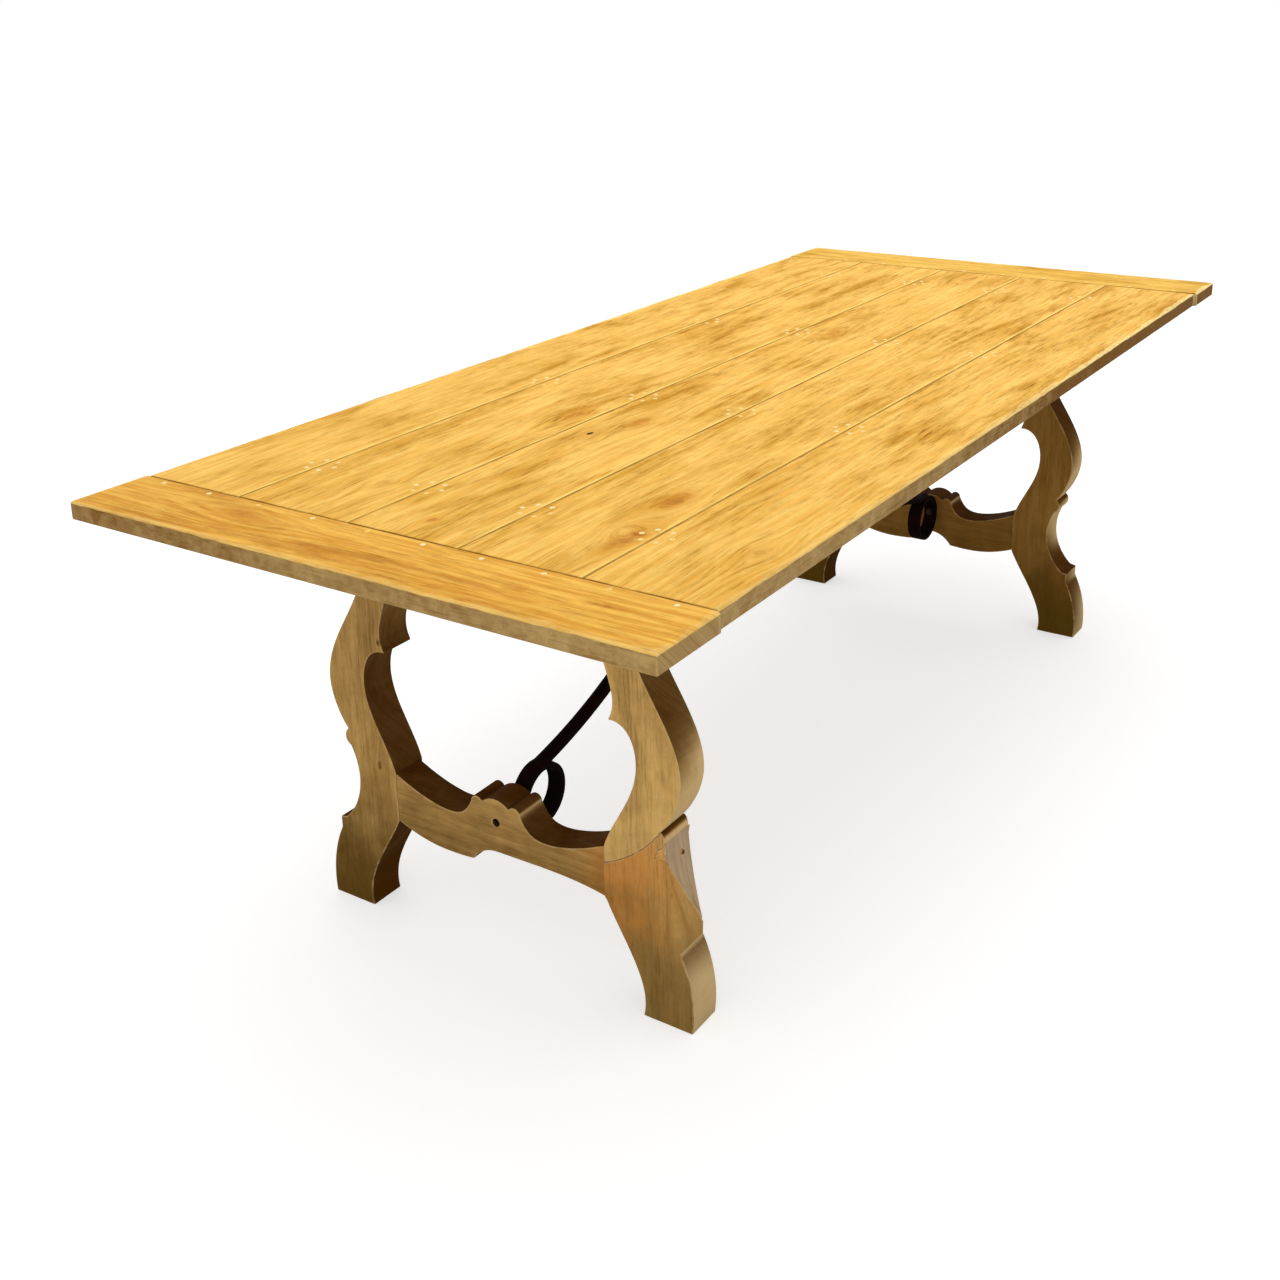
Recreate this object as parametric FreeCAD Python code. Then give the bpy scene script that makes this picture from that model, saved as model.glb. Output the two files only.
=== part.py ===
import FreeCAD
import Part
import math
import os

# Farmhouse table on two lyre-shaped trestles with two curved iron stretchers.
# Millimetres. X runs along the table, Y across it, Z up from the floor.
# The near end is at negative X, the left side at positive Y.

# Whole table
TABLE_HEIGHT = 762.0
TOP_LENGTH = 2290.0
TOP_THICKNESS = 28.0
FIELD_WIDTH = 990.0
OVERRUN = 30.0
FIT_CLEARANCE = 0.1

# Top boards, listed from the left side to the right side
BOARD_WIDTH_SHARES = (0.195, 0.214, 0.196, 0.2, 0.195)
EDGE_BEVEL = 1.4
TONGUE_LENGTH = 26.0
TONGUE_THICKNESS = 10.0

# Breadboard ends
BREADBOARD_WIDTH = 137.0
BREADBOARD_OVERHANG = 5.0

# Wooden pegs
PEG_DIAMETER = 8.0
PEG_BITE = 20.0
PEG_INSET = 12.0
PEG_PAIR_SHARE = 0.25
CLUSTER_RADIUS = 24.0
CLUSTER_COUNT = 6

# Cross pieces under the top
CLEAT_INSET = 305.0
CLEAT_WIDTH = 112.0
CLEAT_HEIGHT = 40.0
CLEAT_LENGTH_SHARE = 0.82
BATTEN_PLACE_SHARE = 1 / 3
BATTEN_WIDTH = 90.0
BATTEN_HEIGHT = 30.0
BATTEN_LENGTH_SHARE = 0.88
END_SLOPE_SHARE = 0.5

# Trestles
TRESTLE_INSET = 332.0
RAIL_THICKNESS = 58.0
LEG_THICKNESS = 64.0
FOOT_REACH = 356.0
TOP_TENON_WIDTH = 56.0
TOP_TENON_HEIGHT = 28.0
TENON_THICKNESS = 20.0
RAIL_TENON_LENGTH = 44.0
RAIL_TENON_HEIGHT_SHARE = 0.66

# Upright outline as shares of the foot reach and of the upright height
SHOULDER_LOW_SHARES = (0.562, 0.261)
SHOULDER_HIGH_SHARES = (0.562, 0.383)
NOTCH_SHARES = (0.834, 0.46)
BEAD_END_SHARES = (0.826, 0.418)
HOLLOW_MIDDLE_SHARES = (0.789, 0.346)
SPUR_ROOT_SHARES = (0.893, 0.2205)
SPUR_TIP_SHARES = (0.93, 0.216)
SPUR_FOOT_SHARES = (0.93, 0.187)
CUSP_SHARES = (0.576, 0.68)
NECK_OUTER_SHARES = (0.702, 1.0)
NECK_INNER_SHARES = (0.421, 1.0)
SOLE_OUTER_SHARES = (1.0, 0.0)
SOLE_INNER_SHARES = (0.761, 0.0)
BELLY_SHARES = ((0.663, 0.937), (0.674, 0.865), (0.736, 0.79), (0.857, 0.687), (0.921, 0.579), (0.893, 0.512))
BEAD_MIDDLE_SHARES = (0.854, 0.438)
FOOT_MIDDLE_SHARES = (0.989, 0.104)
INSTEP_SHARES = ((0.764, 0.05), (0.719, 0.118), (0.629, 0.199))
LYRE_SHARES = ((0.635, 0.468), (0.699, 0.545), (0.708, 0.611), (0.654, 0.669))
THROAT_SHARES = ((0.596, 0.728), (0.576, 0.771), (0.52, 0.85), (0.449, 0.937))

# Cross rail outline as shares of the shoulder reach and of the upright height
EAR_OUTER_SHARES = (0.235, 0.382)
EAR_MIDDLE_SHARES = (0.205, 0.396)
VALLEY_SHARES = (0.13, 0.389)
LOBE_SHARES = (0.0, 0.404)
PENDANT_SHARES = (0.245, 0.2335)
ARCH_SHARES = (0.0, 0.2725)
RAIL_TOP_SHARES = ((0.78, 0.356), (0.6, 0.3415), (0.45, 0.337), (0.33, 0.346), (0.265, 0.366))
RAIL_FOOT_SHARES = ((0.4, 0.2305), (0.6, 0.2315), (0.75, 0.238), (0.88, 0.248))
ARCH_SIDE_SHARES = (0.175, 0.2555)
PLAIN_FOOT_SHARES = ((0.45, 0.274), (0.8, 0.2695))

# Curved iron stretchers
RING_DIAMETER = 104.0
RING_SEAT_DEPTH = 1.5
BAND_WIDTH = 28.0
BAND_THICKNESS = 10.0
ROD_DIAMETER = 22.0
ROD_LEAVING_DEGREES = 10.0
ROD_ELBOW_RADIUS = 60.0
PAD_LENGTH = 62.0
PAD_GAP = 16.0
BOLT_HEIGHT_SHARE = 0.346

# Stretcher bolts, nuts, washers and screws
BOLT_DIAMETER = 8.0
BOLT_HEAD_DIAMETER = 13.0
BOLT_HEAD_THICKNESS = 5.0
BOLT_SINK_DEPTH = 12.0
BOLT_THREAD_OUT = 3.0
NUT_WIDTH = 13.0
NUT_SIDES = 6
NUT_THICKNESS = 6.5
WASHER_DIAMETER = 17.0
WASHER_THICKNESS = 1.6
WASHER_SEAT_DEPTH = 0.4
SCREW_DIAMETER = 4.5
SCREW_HEAD_DIAMETER = 9.0
SCREW_HEAD_THICKNESS = 3.0
SCREW_BITE = 18.0
SCREW_END_INSET = 14.0

# Mended near right leg, which leans out above the rail and in below it by a share of the height
LEAN_SHARE = 0.042
MEND_INNER_SHARES = (0.562, 0.343)
MEND_MIDDLE_SHARES = (0.7, 0.384)
FACET_DROP_SHARE = 0.18
FACET_ROOT_SHARES = ((0.7, 0.396), (0.7, 0.2205))
BLOCK_SAG_SHARES = (0.895, 0.288)
DOWEL_DIAMETER = 10.0
DOWEL_LENGTH = 48.0
DOWEL_SPACING_SHARE = 0.66
DOWEL_REACH_SHARES = (0.747, 0.402)
NAIL_DIAMETER = 3.0
NAIL_HEAD_DIAMETER = 7.0
NAIL_HEAD_THICKNESS = 1.6
NAIL_SEAT_DEPTH = 0.4
NAIL_BITE = 30.0
NAIL_DROP_SHARE = 0.22
NAIL_SETBACK_SHARE = 0.35

# Sizes that follow from those above
TOP_UNDERSIDE = TABLE_HEIGHT - TOP_THICKNESS
UPRIGHT_HEIGHT = TOP_UNDERSIDE - CLEAT_HEIGHT
FIELD_HALF_LENGTH = TOP_LENGTH / 2 - BREADBOARD_WIDTH
BREADBOARD_LENGTH = FIELD_WIDTH + 2 * BREADBOARD_OVERHANG
CLEAT_X = TOP_LENGTH / 2 - CLEAT_INSET
BATTEN_X = CLEAT_X * BATTEN_PLACE_SHARE
TRESTLE_X = TOP_LENGTH / 2 - TRESTLE_INSET
CLEAT_LENGTH = FIELD_WIDTH * CLEAT_LENGTH_SHARE
BATTEN_LENGTH = FIELD_WIDTH * BATTEN_LENGTH_SHARE
TONGUE_MIDDLE = TABLE_HEIGHT - TOP_THICKNESS / 2
SHOULDER_REACH = FOOT_REACH * SHOULDER_LOW_SHARES[0]
RING_RADIUS = RING_DIAMETER / 2
RING_MIDDLE_RADIUS = RING_RADIUS - BAND_THICKNESS / 2
BOLT_HEIGHT = UPRIGHT_HEIGHT * BOLT_HEIGHT_SHARE
ENDS = (("near", -1), ("far", 1))
SIDES = (("left", 1), ("right", -1))


def save(name, pieces):
    """Writes one node, a single solid or a group of like solids."""
    shape = Part.makeCompound(pieces) if len(pieces) > 1 else pieces[0]
    shape.exportStep("parts/" + name + ".step")


def block(x_ends, y_ends, z_ends):
    """Box between two values on each axis, in either order."""
    low = [min(ends) for ends in (x_ends, y_ends, z_ends)]
    span = [abs(ends[1] - ends[0]) for ends in (x_ends, y_ends, z_ends)]
    return Part.makeBox(span[0], span[1], span[2], FreeCAD.Vector(low[0], low[1], low[2]))


def rod(diameter, start, direction, length):
    """Round bar from a start point along a direction."""
    return Part.makeCylinder(diameter / 2, length, start, direction)


def curve_through(points):
    """Line through two points, arc through three, smooth curve through more; all across the table."""
    places = [FreeCAD.Vector(0, y, z) for y, z in points]
    if len(places) == 2:
        return Part.LineSegment(places[0], places[1]).toShape()
    if len(places) == 3:
        return Part.Arc(places[0], places[1], places[2]).toShape()
    curve = Part.BSplineCurve()
    curve.interpolate(places)
    return curve.toShape()


def plate(stretches, x_ends):
    """Solid of even thickness along X from a closed outline given stretch by stretch."""
    wire = Part.Wire([curve_through(stretch) for stretch in stretches])
    face = Part.Face(wire)
    face.translate(FreeCAD.Vector(x_ends[0], 0, 0))
    return face.extrude(FreeCAD.Vector(x_ends[1] - x_ends[0], 0, 0))


def polygon(points):
    """Closed outline of straight stretches."""
    return [[points[i - 1], points[i]] for i in range(len(points))]


def mirrored(stretches):
    """The same stretches on the other side of the table, run in the other direction."""
    return [[(-y, z) for y, z in reversed(stretch)] for stretch in reversed(stretches)]


def at_shares(shares, reach):
    """One outline point from its shares."""
    return (shares[0] * reach, shares[1] * UPRIGHT_HEIGHT)


def stretch_at(shares_list, reach):
    """One outline stretch from its shares."""
    return [at_shares(shares, reach) for shares in shares_list]


def is_mended(end, side):
    """Whether a leg is the mended one, at the near end on the right."""
    return end < 0 and side < 0


def leaned(point):
    """A point of the mended leg once it leans."""
    y, z = point
    low = at_shares(SHOULDER_LOW_SHARES, FOOT_REACH)[1]
    high = at_shares(SHOULDER_HIGH_SHARES, FOOT_REACH)[1]
    return (y + (z - min(max(z, low), high)) * LEAN_SHARE, z)


def rail_ends(end):
    """Outer and inner face of a rail along X."""
    middle = end * TRESTLE_X
    return (middle + end * RAIL_THICKNESS / 2, middle - end * RAIL_THICKNESS / 2)


def leg_ends(end):
    """Outer and inner face of an upright along X, flush with the rail on the outside."""
    outer = rail_ends(end)[0]
    return (outer, outer - end * LEG_THICKNESS)


def overlapping(shape, cutters):
    """Cutters whose boxes meet the box of the shape."""
    return [cutter for cutter in cutters if cutter.BoundBox.intersect(shape.BoundBox)]


def drilled(shape, cutters):
    """The shape less every cutter that meets it."""
    meeting = overlapping(shape, cutters)
    return shape.cut(meeting).Solids[0] if meeting else shape


def board_edges():
    """Left and right edge of every top board across the table."""
    edges = []
    left = FIELD_WIDTH / 2
    for share in BOARD_WIDTH_SHARES:
        right = left - FIELD_WIDTH * share
        edges.append((left, right))
        left = right
    return edges


def bevelled_section(low, high):
    """Section of a board with its two upper edges bevelled."""
    return [
        (low, TOP_UNDERSIDE),
        (high, TOP_UNDERSIDE),
        (high, TABLE_HEIGHT - EDGE_BEVEL),
        (high - EDGE_BEVEL, TABLE_HEIGHT),
        (low + EDGE_BEVEL, TABLE_HEIGHT),
        (low, TABLE_HEIGHT - EDGE_BEVEL),
    ]


def top_board(left, right):
    """One board of the top with a tongue at each end."""
    body = plate(polygon(bevelled_section(right, left)), (-FIELD_HALF_LENGTH, FIELD_HALF_LENGTH))
    tongue_end = FIELD_HALF_LENGTH + TONGUE_LENGTH
    tongue_half = TONGUE_THICKNESS / 2
    tongue_z = (TONGUE_MIDDLE - tongue_half, TONGUE_MIDDLE + tongue_half)
    tongue = block((-tongue_end, tongue_end), (right, left), tongue_z)
    return body.fuse(tongue).removeSplitter().Solids[0]


def breadboard(end):
    """Cross board over the ends of the top boards, grooved for their tongues."""
    half = BREADBOARD_LENGTH / 2
    inner = end * FIELD_HALF_LENGTH
    outer = end * TOP_LENGTH / 2
    section = bevelled_section(min(inner, outer), max(inner, outer))
    wire = Part.makePolygon([FreeCAD.Vector(x, -half, z) for x, z in section + section[:1]])
    body = Part.Face(wire).extrude(FreeCAD.Vector(0, BREADBOARD_LENGTH, 0))
    groove_half = TONGUE_THICKNESS / 2 + FIT_CLEARANCE
    groove_x = (inner - end * OVERRUN, inner + end * (TONGUE_LENGTH + FIT_CLEARANCE))
    groove_y = FIELD_WIDTH / 2 + FIT_CLEARANCE
    groove_z = (TONGUE_MIDDLE - groove_half, TONGUE_MIDDLE + groove_half)
    return body.cut(block(groove_x, (-groove_y, groove_y), groove_z)).Solids[0]


def peg(place, depth):
    """Wooden peg flush with the top."""
    start = FreeCAD.Vector(place[0], place[1], TABLE_HEIGHT - depth)
    return rod(PEG_DIAMETER, start, FreeCAD.Vector(0, 0, 1), depth)


def peg_hole(place, depth):
    """Hole for one peg, open at the top."""
    start = FreeCAD.Vector(place[0], place[1], TABLE_HEIGHT - depth - FIT_CLEARANCE)
    return rod(PEG_DIAMETER + 2 * FIT_CLEARANCE, start, FreeCAD.Vector(0, 0, 1), depth + OVERRUN)


def breadboard_peg_places(end):
    """Two pegs for every board, just outside the seam."""
    x = end * (FIELD_HALF_LENGTH + PEG_INSET)
    places = []
    for left, right in board_edges():
        middle = (left + right) / 2
        offset = (left - right) * PEG_PAIR_SHARE
        places.append((x, middle + offset))
        places.append((x, middle - offset))
    return places


def cluster_places(x):
    """Six pegs round every seam on one cross piece."""
    places = []
    for left, right in board_edges()[:-1]:
        for step in range(CLUSTER_COUNT):
            turn = 2 * math.pi * (step + 1 / 2) / CLUSTER_COUNT
            places.append((x + CLUSTER_RADIUS * math.cos(turn), right + CLUSTER_RADIUS * math.sin(turn)))
    return places


def cross_piece(x, width, height, length):
    """Bar under the top with its lower ends sloped off."""
    half = length / 2
    low = TOP_UNDERSIDE - height
    break_z = TOP_UNDERSIDE - height * END_SLOPE_SHARE
    foot = half - height
    right = [(half, TOP_UNDERSIDE), (half, break_z), (foot, low)]
    left = [(-y, z) for y, z in reversed(right)]
    return plate(polygon(right + left), (x - width / 2, x + width / 2))


def top_tenon(end, side, clearance):
    """Tenon on the head of an upright, or its mortise."""
    middle_x = end * TRESTLE_X
    middle_y = FOOT_REACH * (NECK_OUTER_SHARES[0] + NECK_INNER_SHARES[0]) / 2
    if is_mended(end, side):
        middle_y = leaned((middle_y, UPRIGHT_HEIGHT))[0]
    half_x = TENON_THICKNESS / 2 + clearance
    half_y = TOP_TENON_WIDTH / 2 + clearance
    x_ends = (middle_x - half_x, middle_x + half_x)
    y_ends = (side * (middle_y - half_y), side * (middle_y + half_y))
    return block(x_ends, y_ends, (UPRIGHT_HEIGHT, UPRIGHT_HEIGHT + TOP_TENON_HEIGHT + clearance))


def rail_tenon(end, side, clearance):
    """Tenon on the end of a cross rail, or its mortise."""
    middle_x = end * TRESTLE_X
    low = at_shares(SHOULDER_LOW_SHARES, FOOT_REACH)[1]
    high = at_shares(SHOULDER_HIGH_SHARES, FOOT_REACH)[1]
    half_x = TENON_THICKNESS / 2 + clearance
    half_z = (high - low) * RAIL_TENON_HEIGHT_SHARE / 2 + clearance
    x_ends = (middle_x - half_x, middle_x + half_x)
    y_ends = (side * SHOULDER_REACH, side * (SHOULDER_REACH + RAIL_TENON_LENGTH + clearance))
    return block(x_ends, y_ends, ((low + high) / 2 - half_z, (low + high) / 2 + half_z))


def hollow_stretch():
    """Hollow on the outside of an upright between the bead and the spur."""
    return stretch_at((BEAD_END_SHARES, HOLLOW_MIDDLE_SHARES, SPUR_ROOT_SHARES), FOOT_REACH)


def upright_outline():
    """Outline of a left upright, from its head down the outside and up the inside."""
    belly = (NECK_OUTER_SHARES,) + BELLY_SHARES + (NOTCH_SHARES,)
    bead = (NOTCH_SHARES, BEAD_MIDDLE_SHARES, BEAD_END_SHARES)
    foot = (SPUR_FOOT_SHARES, FOOT_MIDDLE_SHARES, SOLE_OUTER_SHARES)
    instep = (SOLE_INNER_SHARES,) + INSTEP_SHARES + (SHOULDER_LOW_SHARES,)
    lyre = (SHOULDER_HIGH_SHARES,) + LYRE_SHARES + (CUSP_SHARES,)
    throat = (CUSP_SHARES,) + THROAT_SHARES + (NECK_INNER_SHARES,)
    return [
        stretch_at(belly, FOOT_REACH),
        stretch_at(bead, FOOT_REACH),
        hollow_stretch(),
        stretch_at((SPUR_ROOT_SHARES, SPUR_TIP_SHARES), FOOT_REACH),
        stretch_at((SPUR_TIP_SHARES, SPUR_FOOT_SHARES), FOOT_REACH),
        stretch_at(foot, FOOT_REACH),
        stretch_at((SOLE_OUTER_SHARES, SOLE_INNER_SHARES), FOOT_REACH),
        stretch_at(instep, FOOT_REACH),
        stretch_at((SHOULDER_LOW_SHARES, SHOULDER_HIGH_SHARES), FOOT_REACH),
        stretch_at(lyre, FOOT_REACH),
        stretch_at(throat, FOOT_REACH),
        stretch_at((NECK_INNER_SHARES, NECK_OUTER_SHARES), FOOT_REACH),
    ]


def upright(end, side):
    """Shaped leg in one piece from the floor to the cleat, mortised for the rail."""
    outline = upright_outline()
    if is_mended(end, side):
        outline = [[leaned(point) for point in stretch] for stretch in outline]
    body = plate(outline if side > 0 else mirrored(outline), leg_ends(end))
    body = body.fuse(top_tenon(end, side, 0)).removeSplitter()
    return body.cut(rail_tenon(end, side, FIT_CLEARANCE)).Solids[0]


def rail_foot(plain):
    """Lower edge of half a rail, from the middle out to the shoulder."""
    shoulder = (1.0, SHOULDER_LOW_SHARES[1])
    if plain:
        return [stretch_at((ARCH_SHARES,) + PLAIN_FOOT_SHARES + (shoulder,), SHOULDER_REACH)]
    arch = stretch_at((ARCH_SHARES, ARCH_SIDE_SHARES, PENDANT_SHARES), SHOULDER_REACH)
    foot = stretch_at((PENDANT_SHARES,) + RAIL_FOOT_SHARES + (shoulder,), SHOULDER_REACH)
    return [arch, foot]


def cross_rail(end):
    """Rail between two uprights with a carved crest; the near one is plain below on its right half."""
    shoulder = (1.0, SHOULDER_HIGH_SHARES[1])
    rise = stretch_at((shoulder,) + RAIL_TOP_SHARES + (EAR_OUTER_SHARES,), SHOULDER_REACH)
    ear = stretch_at((EAR_OUTER_SHARES, EAR_MIDDLE_SHARES, VALLEY_SHARES), SHOULDER_REACH)
    valley = at_shares(VALLEY_SHARES, SHOULDER_REACH)
    lobe = [valley, at_shares(LOBE_SHARES, SHOULDER_REACH), (-valley[0], valley[1])]
    left_foot = rail_foot(False)
    right_foot = mirrored(rail_foot(end < 0))
    left_end = [left_foot[-1][-1], rise[0]]
    right_end = [(-rise[0][0], rise[0][1]), right_foot[0][0]]
    outline = [left_end, rise, ear, lobe] + mirrored([rise, ear]) + [right_end] + right_foot + left_foot
    body = plate(outline, rail_ends(end))
    tenons = [rail_tenon(end, side, 0) for name, side in SIDES]
    body = body.fuse(tenons).removeSplitter()
    return body.cut(bolt_hole(end)).Solids[0]


def along(end, x, z):
    """Point on the middle plane of the table, x counted inwards from the inner face of a rail."""
    return FreeCAD.Vector(rail_ends(end)[1] - end * x, 0, z)


def bolt_hole(end):
    """Stepped hole through a rail for its bolt."""
    inwards = FreeCAD.Vector(-end, 0, 0)
    outer = along(end, -RAIL_THICKNESS - OVERRUN, BOLT_HEIGHT)
    sink = rod(BOLT_HEAD_DIAMETER + 2 * FIT_CLEARANCE, outer, inwards, BOLT_SINK_DEPTH + OVERRUN)
    shank = rod(BOLT_DIAMETER + 2 * FIT_CLEARANCE, outer, inwards, RAIL_THICKNESS + 2 * OVERRUN)
    return sink.fuse(shank)


def rod_bend():
    """Angle where the long curve of the rod ends, and its radius."""
    leaving = math.radians(ROD_LEAVING_DEGREES)
    ring_x = rail_ends(-1)[1] + RING_RADIUS - RING_SEAT_DEPTH
    pad_x = -PAD_GAP / 2 - PAD_LENGTH
    pad_z = TOP_UNDERSIDE - ROD_DIAMETER / 2
    step = RING_MIDDLE_RADIUS - ROD_ELBOW_RADIUS
    run = pad_x - ring_x + step * math.sin(leaving)
    rise = pad_z - ROD_ELBOW_RADIUS - BOLT_HEIGHT - step * math.cos(leaving)
    final = 2 * math.atan2(rise, run) - leaving
    radius = run / (math.sin(final) - math.sin(leaving)) - ROD_ELBOW_RADIUS
    return final, radius


def swept_rod(centre, start, turn, angle):
    """Round bar bent about a centre, from its start through an angle in the middle plane."""
    radial = start.sub(centre)
    forward = FreeCAD.Vector(0, turn, 0).cross(radial)
    face = Part.Face(Part.Wire(Part.makeCircle(ROD_DIAMETER / 2, start, forward)))
    return face.revolve(centre, FreeCAD.Vector(0, turn, 0), math.degrees(angle))


def iron_stretcher(end):
    """Forged bar: ring on the rail, long curved rod, pad under the middle of the top."""
    half = BAND_WIDTH / 2
    across = FreeCAD.Vector(0, 1, 0)
    ring_depth = RING_RADIUS - RING_SEAT_DEPTH
    ring_centre = along(end, ring_depth, BOLT_HEIGHT)
    ring_start = ring_centre - across * half
    ring = rod(RING_DIAMETER, ring_start, across, BAND_WIDTH)
    ring = ring.cut(rod(RING_DIAMETER - 2 * BAND_THICKNESS, ring_start, across, BAND_WIDTH))
    leaving = math.radians(ROD_LEAVING_DEGREES)
    final, radius = rod_bend()
    lean = FreeCAD.Vector(end * math.sin(leaving), 0, math.cos(leaving))
    start = ring_centre + lean * RING_MIDDLE_RADIUS
    long_centre = start + lean * radius
    long_rod = swept_rod(long_centre, start, end, final - leaving)
    outward = FreeCAD.Vector(-end * math.sin(final), 0, -math.cos(final))
    long_end = long_centre + outward * radius
    elbow_centre = long_end + outward * ROD_ELBOW_RADIUS
    elbow = swept_rod(elbow_centre, long_end, -end, final)
    elbow_end = elbow_centre + FreeCAD.Vector(0, 0, ROD_ELBOW_RADIUS)
    pad = pad_plate(end, elbow_end.x)
    bar = ring.fuse([long_rod, elbow, pad]).removeSplitter()
    seat = block(rail_ends(end), (-half - OVERRUN, half + OVERRUN), (0, TOP_UNDERSIDE))
    return bar.cut([seat, shank_hole(end), washer_seat(end)] + screw_holes(end)).Solids[0]


def pad_plate(end, x):
    """Flattened end of the rod under the top, rounded at its tip."""
    half = BAND_WIDTH / 2
    z_ends = (TOP_UNDERSIDE - BAND_THICKNESS, TOP_UNDERSIDE)
    tip_x = end * (PAD_GAP / 2 + half)
    tip = rod(BAND_WIDTH, FreeCAD.Vector(tip_x, 0, z_ends[0]), FreeCAD.Vector(0, 0, 1), BAND_THICKNESS)
    return block((tip_x, x + end * ROD_DIAMETER / 2), (-half, half), z_ends).fuse(tip)


def shank_hole(end):
    """Hole through the ring for the bolt."""
    start = along(end, -OVERRUN, BOLT_HEIGHT)
    return rod(BOLT_DIAMETER + 2 * FIT_CLEARANCE, start, FreeCAD.Vector(-end, 0, 0), OVERRUN + RING_RADIUS)


def washer_depth():
    """Distance of the washer from the rail."""
    return BAND_THICKNESS - RING_SEAT_DEPTH - WASHER_SEAT_DEPTH


def nut_depth():
    """Distance of the nut from the rail."""
    return washer_depth() + WASHER_THICKNESS


def washer_seat(end):
    """Flat inside the ring where the washer lies."""
    start = along(end, washer_depth(), BOLT_HEIGHT)
    return rod(WASHER_DIAMETER + 2 * FIT_CLEARANCE, start, FreeCAD.Vector(-end, 0, 0), RING_RADIUS)


def bolt(end):
    """Round-headed bolt sunk into a rail."""
    inwards = FreeCAD.Vector(-end, 0, 0)
    head_start = BOLT_SINK_DEPTH - RAIL_THICKNESS - BOLT_HEAD_THICKNESS
    head = rod(BOLT_HEAD_DIAMETER, along(end, head_start, BOLT_HEIGHT), inwards, BOLT_HEAD_THICKNESS)
    grip = nut_depth() + NUT_THICKNESS + BOLT_THREAD_OUT - head_start
    shank = rod(BOLT_DIAMETER, along(end, head_start, BOLT_HEIGHT), inwards, grip)
    return head.fuse(shank).removeSplitter().Solids[0]


def washer(end):
    """Washer under the nut, inside the ring."""
    inwards = FreeCAD.Vector(-end, 0, 0)
    start = along(end, washer_depth(), BOLT_HEIGHT)
    disc = rod(WASHER_DIAMETER, start, inwards, WASHER_THICKNESS)
    return disc.cut(rod(BOLT_DIAMETER + 2 * FIT_CLEARANCE, start, inwards, WASHER_THICKNESS)).Solids[0]


def nut(end):
    """Hexagon nut on the bolt."""
    inwards = FreeCAD.Vector(-end, 0, 0)
    start = along(end, nut_depth(), BOLT_HEIGHT)
    reach = NUT_WIDTH / 2 / math.cos(math.pi / NUT_SIDES)
    corners = []
    for step in range(NUT_SIDES + 1):
        turn = 2 * math.pi * step / NUT_SIDES
        corners.append(start + FreeCAD.Vector(0, reach * math.cos(turn), reach * math.sin(turn)))
    body = Part.Face(Part.makePolygon(corners)).extrude(inwards * NUT_THICKNESS)
    return body.cut(rod(BOLT_DIAMETER + 2 * FIT_CLEARANCE, start, inwards, NUT_THICKNESS)).Solids[0]


def screw_places(end):
    """Two screws on every pad."""
    near_tip = PAD_GAP / 2 + SCREW_END_INSET
    near_rod = PAD_GAP / 2 + PAD_LENGTH - SCREW_END_INSET
    return [end * near_tip, end * near_rod]


def screw(x):
    """Round-headed screw up through a pad."""
    low = TOP_UNDERSIDE - BAND_THICKNESS - SCREW_HEAD_THICKNESS
    up = FreeCAD.Vector(0, 0, 1)
    head = rod(SCREW_HEAD_DIAMETER, FreeCAD.Vector(x, 0, low), up, SCREW_HEAD_THICKNESS)
    length = SCREW_HEAD_THICKNESS + BAND_THICKNESS + SCREW_BITE
    shank = rod(SCREW_DIAMETER, FreeCAD.Vector(x, 0, low), up, length)
    return head.fuse(shank).removeSplitter().Solids[0]


def screw_holes(end):
    """Holes for the screws of one pad, in the pad and in the board above."""
    low = TOP_UNDERSIDE - OVERRUN
    length = OVERRUN + SCREW_BITE + FIT_CLEARANCE
    up = FreeCAD.Vector(0, 0, 1)
    wide = SCREW_DIAMETER + 2 * FIT_CLEARANCE
    return [rod(wide, FreeCAD.Vector(x, 0, low), up, length) for x in screw_places(end)]


def mend_region():
    """Everything below the curved joint of the mended leg."""
    inner = leaned(at_shares(MEND_INNER_SHARES, FOOT_REACH))
    middle = leaned(at_shares(MEND_MIDDLE_SHARES, FOOT_REACH))
    notch = leaned(at_shares(NOTCH_SHARES, FOOT_REACH))
    far_y = FOOT_REACH + OVERRUN
    near_y = inner[0] - OVERRUN
    corners = [notch, (far_y, notch[1]), (far_y, -OVERRUN), (near_y, -OVERRUN), (near_y, inner[1]), inner]
    outline = [[inner, middle, notch]] + polygon(corners)[1:]
    outer_x, inner_x = leg_ends(-1)
    return plate(mirrored(outline), (outer_x - OVERRUN, inner_x + OVERRUN))


def dowel(offset, clearance):
    """Hidden dowel across the curved joint, or its hole."""
    y, z = leaned(at_shares(DOWEL_REACH_SHARES, FOOT_REACH))
    middle_x = sum(leg_ends(-1)) / 2
    length = DOWEL_LENGTH + 2 * clearance
    start = FreeCAD.Vector(middle_x + offset, -y, z - length / 2)
    return rod(DOWEL_DIAMETER + 2 * clearance, start, FreeCAD.Vector(0, 0, 1), length)


def dowels(clearance):
    """Both dowels of the mended leg, or their holes."""
    half_spacing = LEG_THICKNESS * DOWEL_SPACING_SHARE / 2
    return [dowel(step * half_spacing, clearance) for step in (-1, 1)]


def block_face():
    """Hollow outer face of the mending block, from the spur up to the bead."""
    face = stretch_at((SPUR_TIP_SHARES, BLOCK_SAG_SHARES, BEAD_MIDDLE_SHARES), FOOT_REACH)
    return [leaned(point) for point in face]


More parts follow.
